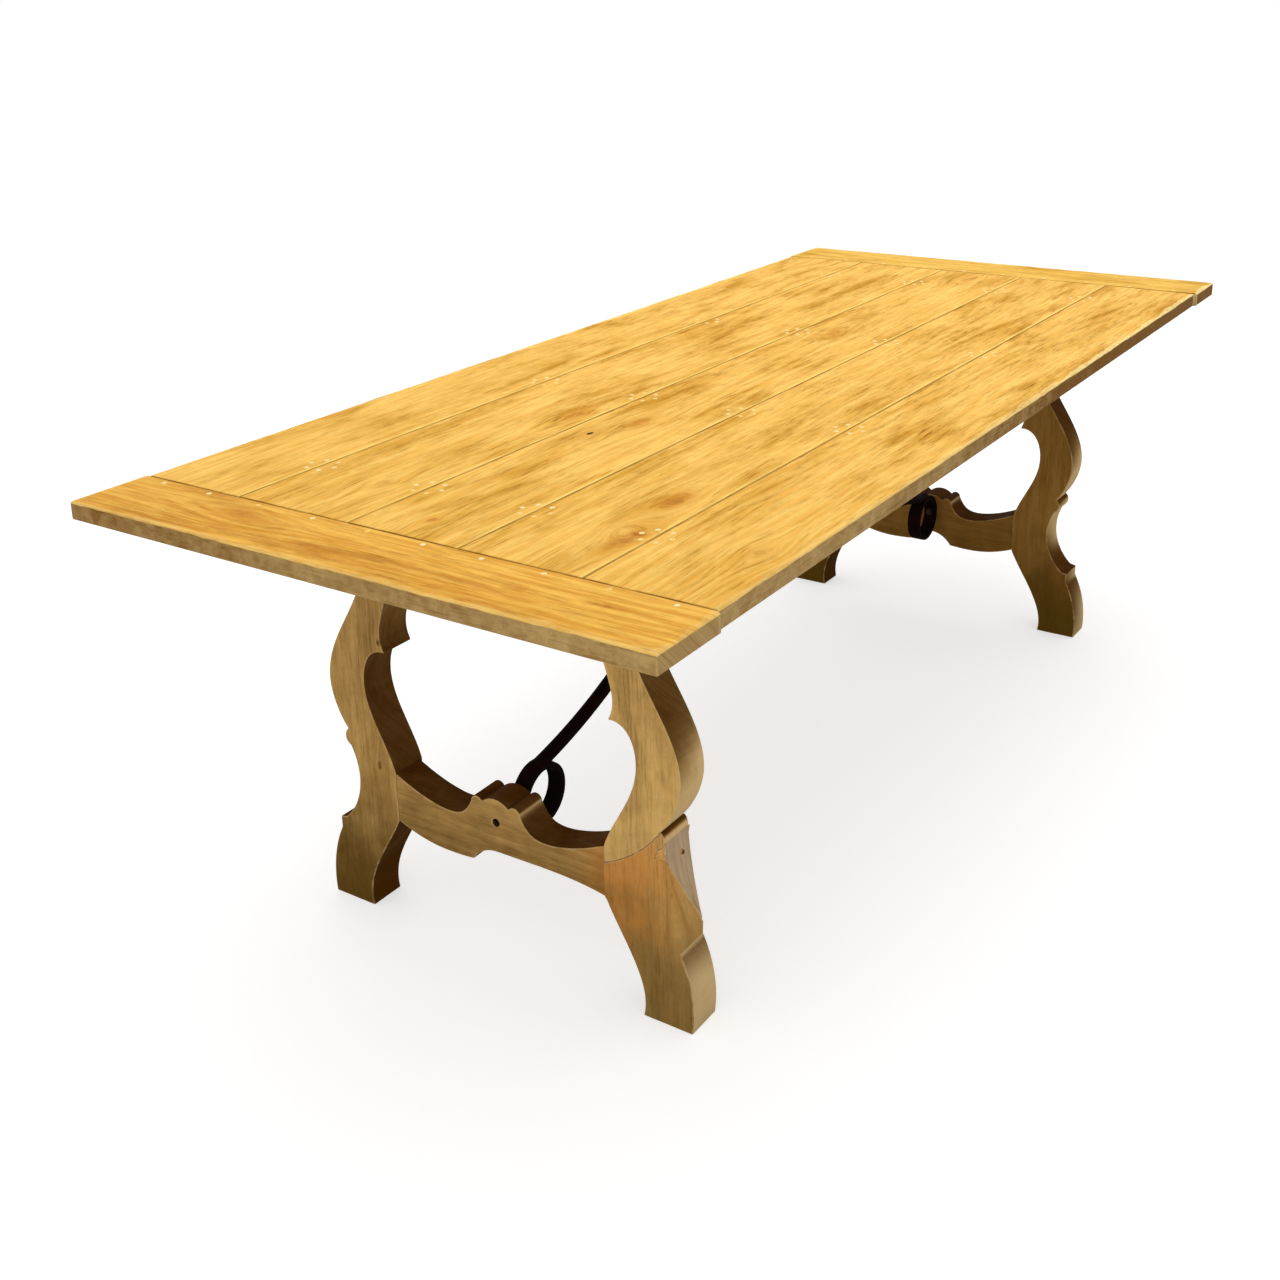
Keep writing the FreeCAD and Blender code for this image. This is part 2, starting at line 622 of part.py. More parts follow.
def block_face_place(x, drop_share):
    """Point on the outer face of the mending block, some way down it, and the direction out of it."""
    face_line = curve_through(mirrored([block_face()])[0])
    span = face_line.LastParameter - face_line.FirstParameter
    drop = face_line.FirstParameter + span * drop_share
    out = face_line.tangentAt(drop).cross(FreeCAD.Vector(1, 0, 0)).normalize()
    return face_line.valueAt(drop) + FreeCAD.Vector(x, 0, 0), out


def nail_line():
    """Seat of the nail head in the mending block and the direction out of it."""
    x = leg_ends(-1)[1] - LEG_THICKNESS * NAIL_SETBACK_SHARE
    place, out = block_face_place(x, NAIL_DROP_SHARE)
    return place - out * NAIL_SEAT_DEPTH, out


def nail():
    """Nail through the mending block into the leg."""
    place, out = nail_line()
    head = rod(NAIL_HEAD_DIAMETER, place, out, NAIL_HEAD_THICKNESS)
    shank = rod(NAIL_DIAMETER, place + out * NAIL_HEAD_THICKNESS, -out, NAIL_HEAD_THICKNESS + NAIL_BITE)
    return head.fuse(shank).removeSplitter().Solids[0]


def nail_hole():
    """Hole for the nail, with a flat seat for its head."""
    place, out = nail_line()
    length = OVERRUN + NAIL_BITE + FIT_CLEARANCE
    shank = rod(NAIL_DIAMETER + 2 * FIT_CLEARANCE, place + out * OVERRUN, -out, length)
    return shank.fuse(rod(NAIL_HEAD_DIAMETER + 2 * FIT_CLEARANCE, place, out, OVERRUN))


def tetrahedron(corners):
    """Solid with four corners."""
    faces = []
    for left_out in range(len(corners)):
        kept = corners[:left_out] + corners[left_out + 1:]
        faces.append(Part.Face(Part.makePolygon(kept + kept[:1])))
    solid = Part.Solid(Part.Shell(faces))
    return solid if solid.Volume > 0 else solid.reversed()


def mended_point(x, shares):
    """Point on one face of the mended leg."""
    y, z = leaned(at_shares(shares, FOOT_REACH))
    return FreeCAD.Vector(x, -y, z)


def facet_solid(apex):
    """Solid between the sloped facet of the mended foot and a point on the front face."""
    outer_x, inner_x = leg_ends(-1)
    facet = [
        block_face_place(outer_x, FACET_DROP_SHARE)[0],
        mended_point(inner_x, SPUR_TIP_SHARES),
        mended_point(outer_x, SPUR_FOOT_SHARES),
    ]
    return tetrahedron(facet + [apex])


def facet_wedge():
    """Part of the mended foot that runs from its front face back to the spur."""
    outer_x = leg_ends(-1)[0]
    upper, lower = [facet_solid(mended_point(outer_x, shares)) for shares in FACET_ROOT_SHARES]
    return upper.fuse(lower)


def facet_waste():
    """What the facet takes off the front of the spur."""
    spur = mended_point(leg_ends(-1)[0], SPUR_TIP_SHARES)
    return facet_solid(spur - FreeCAD.Vector(0, OVERRUN, 0))


def mended_foot(lower_leg):
    """Lower end of the mended leg with its facet."""
    body = lower_leg.cut(facet_waste()).fuse(facet_wedge()).removeSplitter().Solids[0]
    return drilled(body, dowels(FIT_CLEARANCE) + [nail_hole()])


def mending_block(leg):
    """Filler in the hollow of the mended leg, behind the facet."""
    face = block_face()
    root = leaned(at_shares(SPUR_ROOT_SHARES, FOOT_REACH))
    inner_y = at_shares(FACET_ROOT_SHARES[0], FOOT_REACH)[0]
    inner_high = (inner_y, face[-1][1])
    inner_low = (inner_y, root[1])
    outline = [face, [face[-1], inner_high], [inner_high, inner_low], [inner_low, root], [root, face[0]]]
    body = plate(mirrored(outline), leg_ends(-1))
    return body.cut([leg, facet_wedge(), facet_waste(), nail_hole()]).Solids[0]


os.makedirs("parts", exist_ok=True)

through = TOP_THICKNESS
into_cross_piece = TOP_THICKNESS + PEG_BITE
peg_holes = []
for end_name, end in ENDS:
    end_places = breadboard_peg_places(end)
    cleat_places = cluster_places(end * CLEAT_X)
    batten_places = cluster_places(end * BATTEN_X)
    save("breadboard_pegs_" + end_name, [peg(place, through) for place in end_places])
    save("cleat_pegs_" + end_name, [peg(place, into_cross_piece) for place in cleat_places])
    save("batten_pegs_" + end_name, [peg(place, into_cross_piece) for place in batten_places])
    peg_holes.extend([peg_hole(place, through) for place in end_places])
    peg_holes.extend([peg_hole(place, into_cross_piece) for place in cleat_places + batten_places])

all_screw_holes = screw_holes(-1) + screw_holes(1)
for number, edges in enumerate(board_edges(), start=1):
    save("top_board_" + str(number), [drilled(top_board(edges[0], edges[1]), peg_holes + all_screw_holes)])

for end_name, end in ENDS:
    cleat = cross_piece(end * CLEAT_X, CLEAT_WIDTH, CLEAT_HEIGHT, CLEAT_LENGTH)
    mortises = [top_tenon(end, side, FIT_CLEARANCE) for side_name, side in SIDES]
    batten = cross_piece(end * BATTEN_X, BATTEN_WIDTH, BATTEN_HEIGHT, BATTEN_LENGTH)
    save("breadboard_" + end_name, [drilled(breadboard(end), peg_holes)])
    save("cleat_" + end_name, [drilled(cleat, peg_holes + mortises)])
    save("batten_" + end_name, [drilled(batten, peg_holes)])
    save("cross_rail_" + end_name, [cross_rail(end)])
    save("iron_stretcher_" + end_name, [iron_stretcher(end)])
    save("stretcher_bolt_" + end_name, [bolt(end)])
    save("stretcher_washer_" + end_name, [washer(end)])
    save("stretcher_nut_" + end_name, [nut(end)])
    for side_name, side in SIDES:
        leg = upright(end, side)
        if is_mended(end, side):
            region = mend_region()
            save("mended_foot", [mended_foot(leg.common(region).Solids[0])])
            save("mending_block", [mending_block(leg)])
            leg = drilled(leg.cut(region).Solids[0], dowels(FIT_CLEARANCE))
        save("upright_" + end_name + "_" + side_name, [leg])

save("stretcher_screws", [screw(x) for name, end in ENDS for x in screw_places(end)])
save("mending_dowels", dowels(0))
save("mending_nail", [nail()])
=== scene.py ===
import math
from typing import NamedTuple

import bmesh
import bpy
from mathutils import Color, Matrix, Vector, noise


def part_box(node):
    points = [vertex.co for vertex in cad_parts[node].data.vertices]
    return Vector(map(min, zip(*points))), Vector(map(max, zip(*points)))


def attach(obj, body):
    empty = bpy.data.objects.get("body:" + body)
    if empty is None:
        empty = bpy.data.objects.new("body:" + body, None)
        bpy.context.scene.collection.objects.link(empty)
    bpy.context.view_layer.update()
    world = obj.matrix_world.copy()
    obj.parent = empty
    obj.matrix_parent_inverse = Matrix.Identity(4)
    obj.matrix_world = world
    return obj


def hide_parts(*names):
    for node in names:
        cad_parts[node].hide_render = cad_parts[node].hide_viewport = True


bl_info = {
    "name": "Farmhouse table",
    "version": (1, 0, 0),
    "blender": (4, 5, 0),
    "location": "View3D > Sidebar > Table",
    "description": "Dresses a farmhouse table: worn boards, carved trestles, forged iron and a plain studio",
    "category": "Object",
}

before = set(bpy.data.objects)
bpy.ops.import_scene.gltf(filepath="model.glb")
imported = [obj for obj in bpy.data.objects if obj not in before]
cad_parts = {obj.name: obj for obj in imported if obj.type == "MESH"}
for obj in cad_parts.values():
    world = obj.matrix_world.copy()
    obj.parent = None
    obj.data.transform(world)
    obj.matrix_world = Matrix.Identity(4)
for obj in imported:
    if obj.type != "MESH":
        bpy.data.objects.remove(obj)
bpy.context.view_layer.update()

# Metres. X runs along the table, Y across it, Z up from the floor.
# The near end is at negative X, the left side at positive Y.

BODY = "root"
BOARD_COUNT = 5
CARD_STEPS = 255
X, Y, Z = 0, 1, 2

# Mesh work
MERGE_DISTANCE = 1e-6
FLAT_ANGLE = math.radians(0.6)
ARRIS_ANGLE = math.radians(32.0)
ARRIS_SEGMENTS = 3
UP_LIMIT = 0.35
CORNER_LIMIT = 0.1
FACING_LIMIT = 0.5
SMOOTH_LIMIT = 0.8
JOINT_REACH = 0.006
FACET_MARGIN = 0.02

# Worn edges
SEAM_OPENING = 4
LOWER_WEAR = 0.4
# The facet edges of the mended foot take twice the pale edge colour, a painted highlight along its ridge
RIDGE_HIGHLIGHT = 2.0
WEAR_REACH_SHARE = 1.01
WEAR_DROP_SHARE = 0.8
MIDDLE_WEAR = 0.35

# Painted shade on ledges, inner walls and walls near the front of the uprights, under the top, and painted
# light on walls that look outwards, by how far a wall leans and how high it is
LEDGE_START = 0.18
LEDGE_FULL = 0.55
FRONT_SHADE = 0.63
INNER_LEAN = (0.2, 0.8)
INNER_SHADE = 0.95
INNER_HEIGHT = (0.42, 0.62)
INNER_LOSS = 0.5
OUTER_LEAN = (0.3, 0.7)


class Grain(NamedTuple):
    """How often a noise repeats along and across the grain, per metre, and how rough it is."""

    along: float
    across: float
    detail: float
    rough: float


class Knot(NamedTuple):
    """A knot or mark in a board: its place, its half length and half width, and how dark it is."""

    along: float
    across: float
    half_length: float
    half_width: float
    dark: float


class Side(NamedTuple):
    """One side of a plank: the axis across it, which way it looks and if it lies on the rim of the top."""

    axis: int
    sign: int
    rim: bool


class Wave(NamedTuple):
    """A noise along a worn edge: how often it repeats per metre, its own place and its share."""

    often: float
    place: float
    share: float


class Surface(NamedTuple):
    """The relief of a wood, as shares of its depth in metres, and how rough and shiny it is."""

    streak: float
    line: float
    fleck: float
    smudge: float
    depth: float
    rough: float
    stain_rough: float
    fleck_rough: float
    shine: float


WEAR_WAVES = (Wave(9.0, 0.0, 0.4), Wave(47.0, 5.0, 0.45))

# Noises, and the spans in which they come from nothing to full
WANDER = Grain(1.3, 4.0, 2.0, 0.5)
STREAKS = Grain(7.0, 105.0, 3.0, 0.65)
FIGURE = Grain(0.5, 4.5, 1.0, 0.4)
FLECKS = Grain(15.0, 270.0, 4.0, 0.7)
STAINS = Grain(3.6, 13.0, 5.0, 0.66)
SMUDGES = Grain(14.0, 14.0, 4.0, 0.6)
CHIPS = Grain(55.0, 55.0, 3.0, 0.7)
DENTS = Grain(120.0, 120.0, 2.0, 0.5)
BLOOM = Grain(38.0, 38.0, 5.0, 0.65)
NOISE_MIDDLE = 0.5
STREAK_SPAN = (0.38, 0.62)
FLECK_SPAN = (0.51, 0.68)
STAIN_SPAN = (0.42, 0.68)
SMUDGE_SPAN = (0.30, 0.70)
CHIP_SPAN = (0.38, 0.62)
FINE_CHIP_SPAN = (0.40, 0.60)
BLOOM_SPAN = (0.42, 0.66)

# Seeds of the noises in a finish, and of the finishes
STREAK_SEED, FIGURE_SEED, FLECK_SEED, STAIN_SEED, CHIP_SEED, SMUDGE_SEED = 1.0, 2.0, 3.0, 4.0, 5.0, 6.0
SPECK_SEED = 1.0
BLOOM_SEED = 1.0
SEED_STEP = 7.3
WEAR_SEED_STEP = 10.0
PEG_SEED = 3.0
BREADBOARD_SEED = 50.0
BREADBOARD_WEAR_SEED = 100.0
CROSS_PIECE_SEED = 200.0
TRESTLE_SEED = 300.0
FOOT_SEED = 400.0
BLOCK_SEED = 410.0
IRON_SEED = 500.0
STEEL_SEED = 520.0

# Grain and knots
WANDER_DEPTH = 0.022
FIGURE_TURNS = 120.0
LINE_POWER = 2.0
FLECK_IN_STAIN = (0.45, 1.0)
KNOT_PULL = 0.85
KNOT_SPREAD = -0.1
KNOT_RAGGED = 2.5
KNOT_SPAN = (1.5, 0.1)
RING_TURNS = 9.0
RING_SHARES = (0.65, 1.15)
HALO_SPREAD = -0.45
HOLE_SPAN = (1.1, 1.6)

# Finish of the top: places in metres, and the shares of each mark
TOP_SURFACE = Surface(
    streak=0.3,
    line=-0.2,
    fleck=-0.8,
    smudge=0.5,
    depth=0.0005,
    rough=0.52,
    stain_rough=0.12,
    fleck_rough=0.15,
    shine=0.05,
)
GRAIN_ALONG = (-0.9, 0.0)
GRAIN_SHARES = (0.9, 1.35)
TOP_STAIN = 0.4
TOP_LINE = 0.14
TOP_LINE_IN_STAIN = 0.3
TOP_LINE_AT_KNOT = 0.6
TOP_CHIP = 0.1
TOP_FLECK = 0.8
HALO_SHARE = 0.9
HEART_STREAK = 0.45
HEART_CHIP = 0.35
HEART_LEAST = 0.15
HANDLED_ACROSS = (-0.1, 0.45)
HANDLED_ALONG = (0.5, -0.5)
HANDLED_SHARE = 0.14
BARE_ALONG = (-0.6, 0.6)
BARE_SHARES = (0.2, 0.75)
RIM_BAND = (0.014, 0.010)
RIM_UNEVEN = 0.010
RIM_SHARES = (0.5, 1.0)
# Painted highlight along one side of each seam
SEAM_BAND = (0.009, 0.005)
SEAM_BAND_SHARES = (0.2, 0.8)
SEAM_SOIL = (0.0055, 0.001)
SEAM_SOIL_SHARE = 0.6
SEAM_SHARES = (0.4, 0.85)
# Painted shade on the sides of the top, growing towards the left and towards the far end
SIDE_ACROSS = (-0.3, 0.5)
SIDE_ACROSS_SHARE = 0.35
SIDE_ALONG = (-0.7, 0.5)
SIDE_ALONG_SHARE = 0.85
SIDE_SMUDGE = 0.28
SIDE_CHIP = 0.28
SIDE_FLECK = 0.4
SIDE_SHARE = 0.97
# Painted light on the breadboards' faces beside the seams
ENDING_BAND = (0.008, 0.006)
ENDING_SHARES = (0.6, 1.1)
TOP_ARRIS_SHARES = (0.4, 1.0)

# Finish of the trestles
TRESTLE_SURFACE = Surface(
    streak=0.3,
    line=-0.3,
    fleck=-0.8,
    smudge=0.8,
    depth=0.0008,
    rough=0.72,
    stain_rough=0.1,
    fleck_rough=0.1,
    shine=0.02,
)
THROUGH_SHARE = 0.7
TRESTLE_STAIN = 0.35
TRESTLE_LINE = 0.15
TRESTLE_FLECK = 0.34
TRESTLE_SMUDGE = 0.12
TRESTLE_CHIP = 0.12
# Painted shade: how far the cross pieces under the top and the far trestle are darkened towards the gloom
# colour
UNDER_GLOOM = 0.3
FAR_GLOOM = 0.65
MENDED_WARMTH = 0.65
WARM_ACROSS = (-0.34, -0.22)
WARM_ACROSS_UNEVEN = 0.04
WARM_HEIGHT = (0.06, 0.20)
WARM_HEIGHT_UNEVEN = 0.05
WARM_END = (-0.12, -0.22)
WARM_END_UNEVEN = 0.03
WARM_END_SHARE = 0.7
FOOT_HEIGHT = (0.36, 0.08)
FOOT_UNEVEN = 0.08
FOOT_SHARE = 0.92
WARM_FOOT_SHARE = 0.72
# Painted light on walls that look outwards
LIT_WALL_SHARES = (0.85, 0.65)
TRESTLE_ARRIS_SHARES = (0.1, 0.55)
# Painted shade on ledges and inner walls
LEDGE_SHARES = (0.98, 0.86)

# Finish of the mending block
BLOCK_FRONT_SHARES = (0.3, 0.6)
BLOCK_SMUDGE_SPAN = (0.35, 0.75)
BLOCK_STREAK = 0.3
BLOCK_SMUDGE = 0.3
BLOCK_FLECK = 0.4
BLOCK_ARRIS = 0.9
BLOCK_STREAK_RISE = 0.4
BLOCK_FLECK_DEPTH = 0.8
BLOCK_DEPTH = 0.0008
BLOCK_ROUGH = (0.6, 0.75)
BLOCK_SHINE = 0.15

# Finish of the pegs
PEG_MOTTLE_SPAN = (0.42, 0.62)
PEG_SPECK_SCALE = 4.0
PEG_SPECK_SPAN = (0.5, 0.7)
PEG_SPECK = 0.6
PEG_DEPTH = 0.0003
PEG_ROUGH = (0.45, 0.65)
PEG_SHINE = 0.3

# Finish of the iron and steel
DENT_TURN = (0.6, 0.8)
BLOOM_TURN = 0.5
BLOOM_RISE = 0.4
BLOOM_ROUGH = 0.2
METAL_DEPTH = 0.0008
METAL_SHINE = 0.05
IRON_METAL = 0.0
IRON_ROUGH = 0.75
STEEL_METAL = 0.8
STEEL_ROUGH = 0.35

# Stage
SENSOR_WIDTH = 36.0
WHITE = (1.0, 1.0, 1.0, 1.0)
SHOWN_STRENGTH = 1.0

# Knots and marks by piece, in metres along and across the grain
KNOTS = {
    "top_board_2": (Knot(-0.431, 0.127, 0.024, 0.010, 0.5), Knot(-0.853, 0.163, 0.016, 0.009, 0.4)),
    "top_board_3": (
        Knot(-0.411, 0.008, 0.026, 0.010, 0.5),
        Knot(-0.943, -0.004, 0.010, 0.006, 0.6),
        Knot(0.932, -0.005, 0.030, 0.012, 0.4),
        Knot(0.302, 0.020, 0.030, 0.012, 0.35),
        Knot(-0.503, 0.045, 0.009, 0.0045, 2.0),
    ),
    "top_board_4": (
        Knot(-0.708, -0.246, 0.034, 0.013, 0.9),
        Knot(-0.870, -0.271, 0.044, 0.014, 0.55),
        Knot(-0.846, -0.277, 0.009, 0.012, 1.0),
    ),
    "top_board_5": (Knot(-0.821, -0.448, 0.020, 0.011, 0.5),),
    "breadboard_near": (Knot(0.237, -1.056, 0.034, 0.014, 0.3), Knot(-0.374, -1.064, 0.022, 0.004, 0.8)),
    "upright_near_left": (Knot(0.488, 0.215, 0.007, 0.004, 0.9), Knot(0.272, 0.233, 0.008, 0.004, 0.8)),
}


def tone(red, green, blue):
    """A colour given in the 0 to 255 steps of a paint card, as shares."""
    return (red / CARD_STEPS, green / CARD_STEPS, blue / CARD_STEPS)


def paint(colour):
    """A colour picked on screen, as the linear colour with alpha that a shader takes."""
    linear = Color(colour).from_srgb_to_scene_linear()
    return (linear.r, linear.g, linear.b, 1.0)


def colour_setting(name, description, default):
    """A colour that a user can change."""
    return bpy.props.FloatVectorProperty(
        name=name,
        description=description,
        default=tone(*default),
        subtype="COLOR_GAMMA",
        size=3,
        min=0.0,
        max=1.0,
    )


def length_setting(name, description, default):
    """A length in metres that a user can change."""
    return bpy.props.FloatProperty(
        name=name, description=description, default=default, min=0.0, unit="LENGTH", precision=4
    )


def place_setting(name, description, default):
    """A point in metres that a user can change."""
    return bpy.props.FloatVectorProperty(
        name=name, description=description, default=default, subtype="TRANSLATION", unit="LENGTH"
    )


def power_setting(name, description, default):
    """The power of a lamp in watts, which a user can change."""
    return bpy.props.FloatProperty(name=name, description=description, default=default, min=0.0, unit="POWER")


def plain_setting(name, description, default):
    """A plain number that a user can change."""
    return bpy.props.FloatProperty(name=name, description=description, default=default)


# Settings


class TopSettings(bpy.types.PropertyGroup):
    """Sizes and colours of the boards, breadboard ends and pegs."""

    rounding: length_setting("Rounding", "Radius worn on every edge of a board", 0.0016)
    seam_wear: length_setting("Seam wear", "Depth that the edges along the seams are worn back", 0.0006)
    rim_wear: length_setting("Rim wear", "Depth that the outer rim of the top is worn back", 0.0042)
    wear_step: length_setting("Wear step", "Length of one stretch of worn edge", 0.012)
    peg_stand: length_setting("Peg stand", "Height that the pegs stand proud of the boards", 0.0004)
    seam_gap: length_setting("Seam gap", "Widest opening of the far seam of the right board", 0.0060)
    light: colour_setting("Light wood", "Palest wood of the boards", (252, 204, 102))
    middle: colour_setting("Middle wood", "Main colour of the boards", (241, 183, 77))
    dark: colour_setting("Dark wood", "Streaks and stains of the boards", (202, 144, 34))
    end_light: colour_setting("Light end", "Palest wood of the near breadboard", (250, 196, 84))
    end_middle: colour_setting("Middle end", "Main colour of the near breadboard", (227, 162, 52))
    end_dark: colour_setting("Dark end", "Streaks of the near breadboard", (178, 112, 26))
    far_light: colour_setting("Light far end", "Palest wood of the far breadboard", (244, 200, 92))
    far_middle: colour_setting("Middle far end", "Main colour of the far breadboard", (234, 180, 64))
    pore: colour_setting("Flecks", "Dark flecks of the wood", (166, 104, 12))
    # Also the painted shade that darkens the sides of the top
    seam: colour_setting("Seams", "Dirt in the seams", (124, 80, 14))
    knot: colour_setting("Knots", "Heart of a knot", (152, 84, 10))
    hole: colour_setting("Holes", "Inside of a small hole", (30, 16, 6))
    # Painted highlight: the pale band along the right edge of each board at its seam
    band: colour_setting("Seam bands", "Rubbed wood beside a seam", (255, 218, 112))
    halo: colour_setting("Knot halo", "Warm wood round a knot", (218, 146, 34))
    side: colour_setting("Edges", "Greyed wood on the sides of the top", (194, 162, 106))
    # Also the painted light on the breadboards' faces beside the seams
    worn: colour_setting("Worn rim", "Bare wood where the rim is rubbed", (253, 232, 158))
    peg: colour_setting("Pegs", "Pale wood of the pegs", (250, 228, 160))


class TrestleSettings(bpy.types.PropertyGroup):
    """Sizes and colours of the trestles and the pieces under the top."""

    rounding: length_setting("Rounding", "Radius worn on the carved edges", 0.0022)
    end_slope: length_setting("End slope", "How far the ends of the cross pieces slope back", 0.016)
    light: colour_setting("Light wood", "Palest wood of the trestles", (212, 170, 102))
    middle: colour_setting("Middle wood", "Main colour of the trestles", (192, 150, 86))
    dark: colour_setting("Dark wood", "Growth lines of the trestles", (140, 102, 48))
    # Painted light: lit copies of the light and middle wood for the near right leg and its mended foot
    painted_lit_light: colour_setting("Bright light wood", "Palest wood of the near right leg", (242, 198, 122))
    painted_lit_middle: colour_setting("Bright middle wood", "Main colour of the near right leg", (234, 188, 110))
    # Painted light on carved walls that look outwards
    painted_lit_walls: colour_setting("Bleached walls", "Carved walls that look outwards", (222, 192, 138))
    pore: colour_setting("Pores", "Dark pores of the wood", (96, 66, 30))
    # Painted shade on ledges, inner walls and walls near the front of the uprights, under the top
    shade: colour_setting("Ledges", "Old stain on ledges and inner walls", (76, 40, 0))
    # Painted shade for the far trestle and the cross pieces under the top
    painted_gloom: colour_setting("Far trestle", "Darker wood of the far trestle", (132, 86, 8))
    foot: colour_setting("Feet", "Scuffed wood near the floor", (92, 66, 16))
    worn: colour_setting("Worn edges", "Rubbed wood on the carved edges", (214, 182, 128))
    warm: colour_setting("Mended wood", "Warmer wood of the mended foot", (212, 132, 54))
    pale: colour_setting("Mending block", "Pale face of the mending block", (196, 168, 134))


class MetalSettings(bpy.types.PropertyGroup):
    """Sizes and colours of the iron and steel."""

    rounding: length_setting("Rounding", "Radius on the edges of the iron bars", 0.0012)
    iron: colour_setting("Iron", "Forged iron", (12, 3, 1))
    rust: colour_setting("Rust", "Red brown bloom on the iron", (26, 8, 3))
    steel: colour_setting("Steel", "Bolts, nuts, washers and screws", (70, 62, 56))


class StageSettings(bpy.types.PropertyGroup):
    """The camera, the lamps and the floor."""

    camera_place: place_setting("Camera", "Where the camera stands", (-2.4273, -1.3495, 1.4779))
    camera_aim: place_setting("Aim", "A point that the camera looks at", (-0.0706, 0.2428, 0.5237))
    camera_roll: bpy.props.FloatProperty(
        name="Roll",
        description="Turn of the camera about its own axis",
        default=math.radians(-1.294),
        subtype="ANGLE",
    )
    camera_lens: plain_setting("Lens", "Focal length in millimetres on a 36 mm frame", 43.68)
    camera_shift: plain_setting("Shift", "Share of the picture that the frame is moved up", -0.125)
    sky: plain_setting("Sky", "Strength of the even light", 0.85)
    key: power_setting("Key", "Power of the soft lamp overhead", 26.0)
    key_size: length_setting("Key size", "Length of the sides of the lamp overhead", 3.0)
    key_place: place_setting("Key place", "Where the lamp overhead hangs", (0.7, 0.3, 2.9))
    key_aim: place_setting("Key aim", "A point that the lamp overhead looks at", (0.3, 0.0, 0.6))
    fill: power_setting("Fill", "Power of the soft lamp in front", 5.0)
    fill_size: length_setting("Fill size", "Length of the sides of the lamp in front", 1.6)
    fill_place: place_setting("Fill place", "Where the lamp in front stands", (-3.2, -0.9, 0.9))
    fill_aim: place_setting("Fill aim", "A point that the lamp in front looks at", (-0.8, -0.2, 0.4))
    floor_size: length_setting("Floor", "Length of the floor's sides", 80.0)
    floor: colour_setting("Floor colour", "Colour of the floor", (206, 206, 206))
    floor_lift: plain_setting("Floor lift", "Light added to the floor where the camera sees it", 0.56)


# Shader maths


class Shade:
    """A node's output that Python sums and products can use."""

    def __init__(self, finish, socket):
        self.finish = finish
        self.socket = socket

    def sum(self, operation, first, second):
        return self.finish.add("ShaderNodeMath", {"operation": operation}, {0: first, 1: second})

    def __add__(self, other):
        return self.sum("ADD", self, other)

    def __radd__(self, other):
        return self.sum("ADD", other, self)

    def __sub__(self, other):
        return self.sum("SUBTRACT", self, other)

    def __rsub__(self, other):
        return self.sum("SUBTRACT", other, self)

    def __mul__(self, other):
        return self.sum("MULTIPLY", self, other)

    def __rmul__(self, other):
        return self.sum("MULTIPLY", other, self)

    def __truediv__(self, other):
        return self.sum("DIVIDE", self, other)

    def __pow__(self, other):
        return self.sum("POWER", self, other)

    def __rpow__(self, other):
        return self.sum("POWER", other, self)

    def between(self, least, most):
        """This value, which runs from 0 to 1, made to run from least to most."""
        return self * (most - least) + least


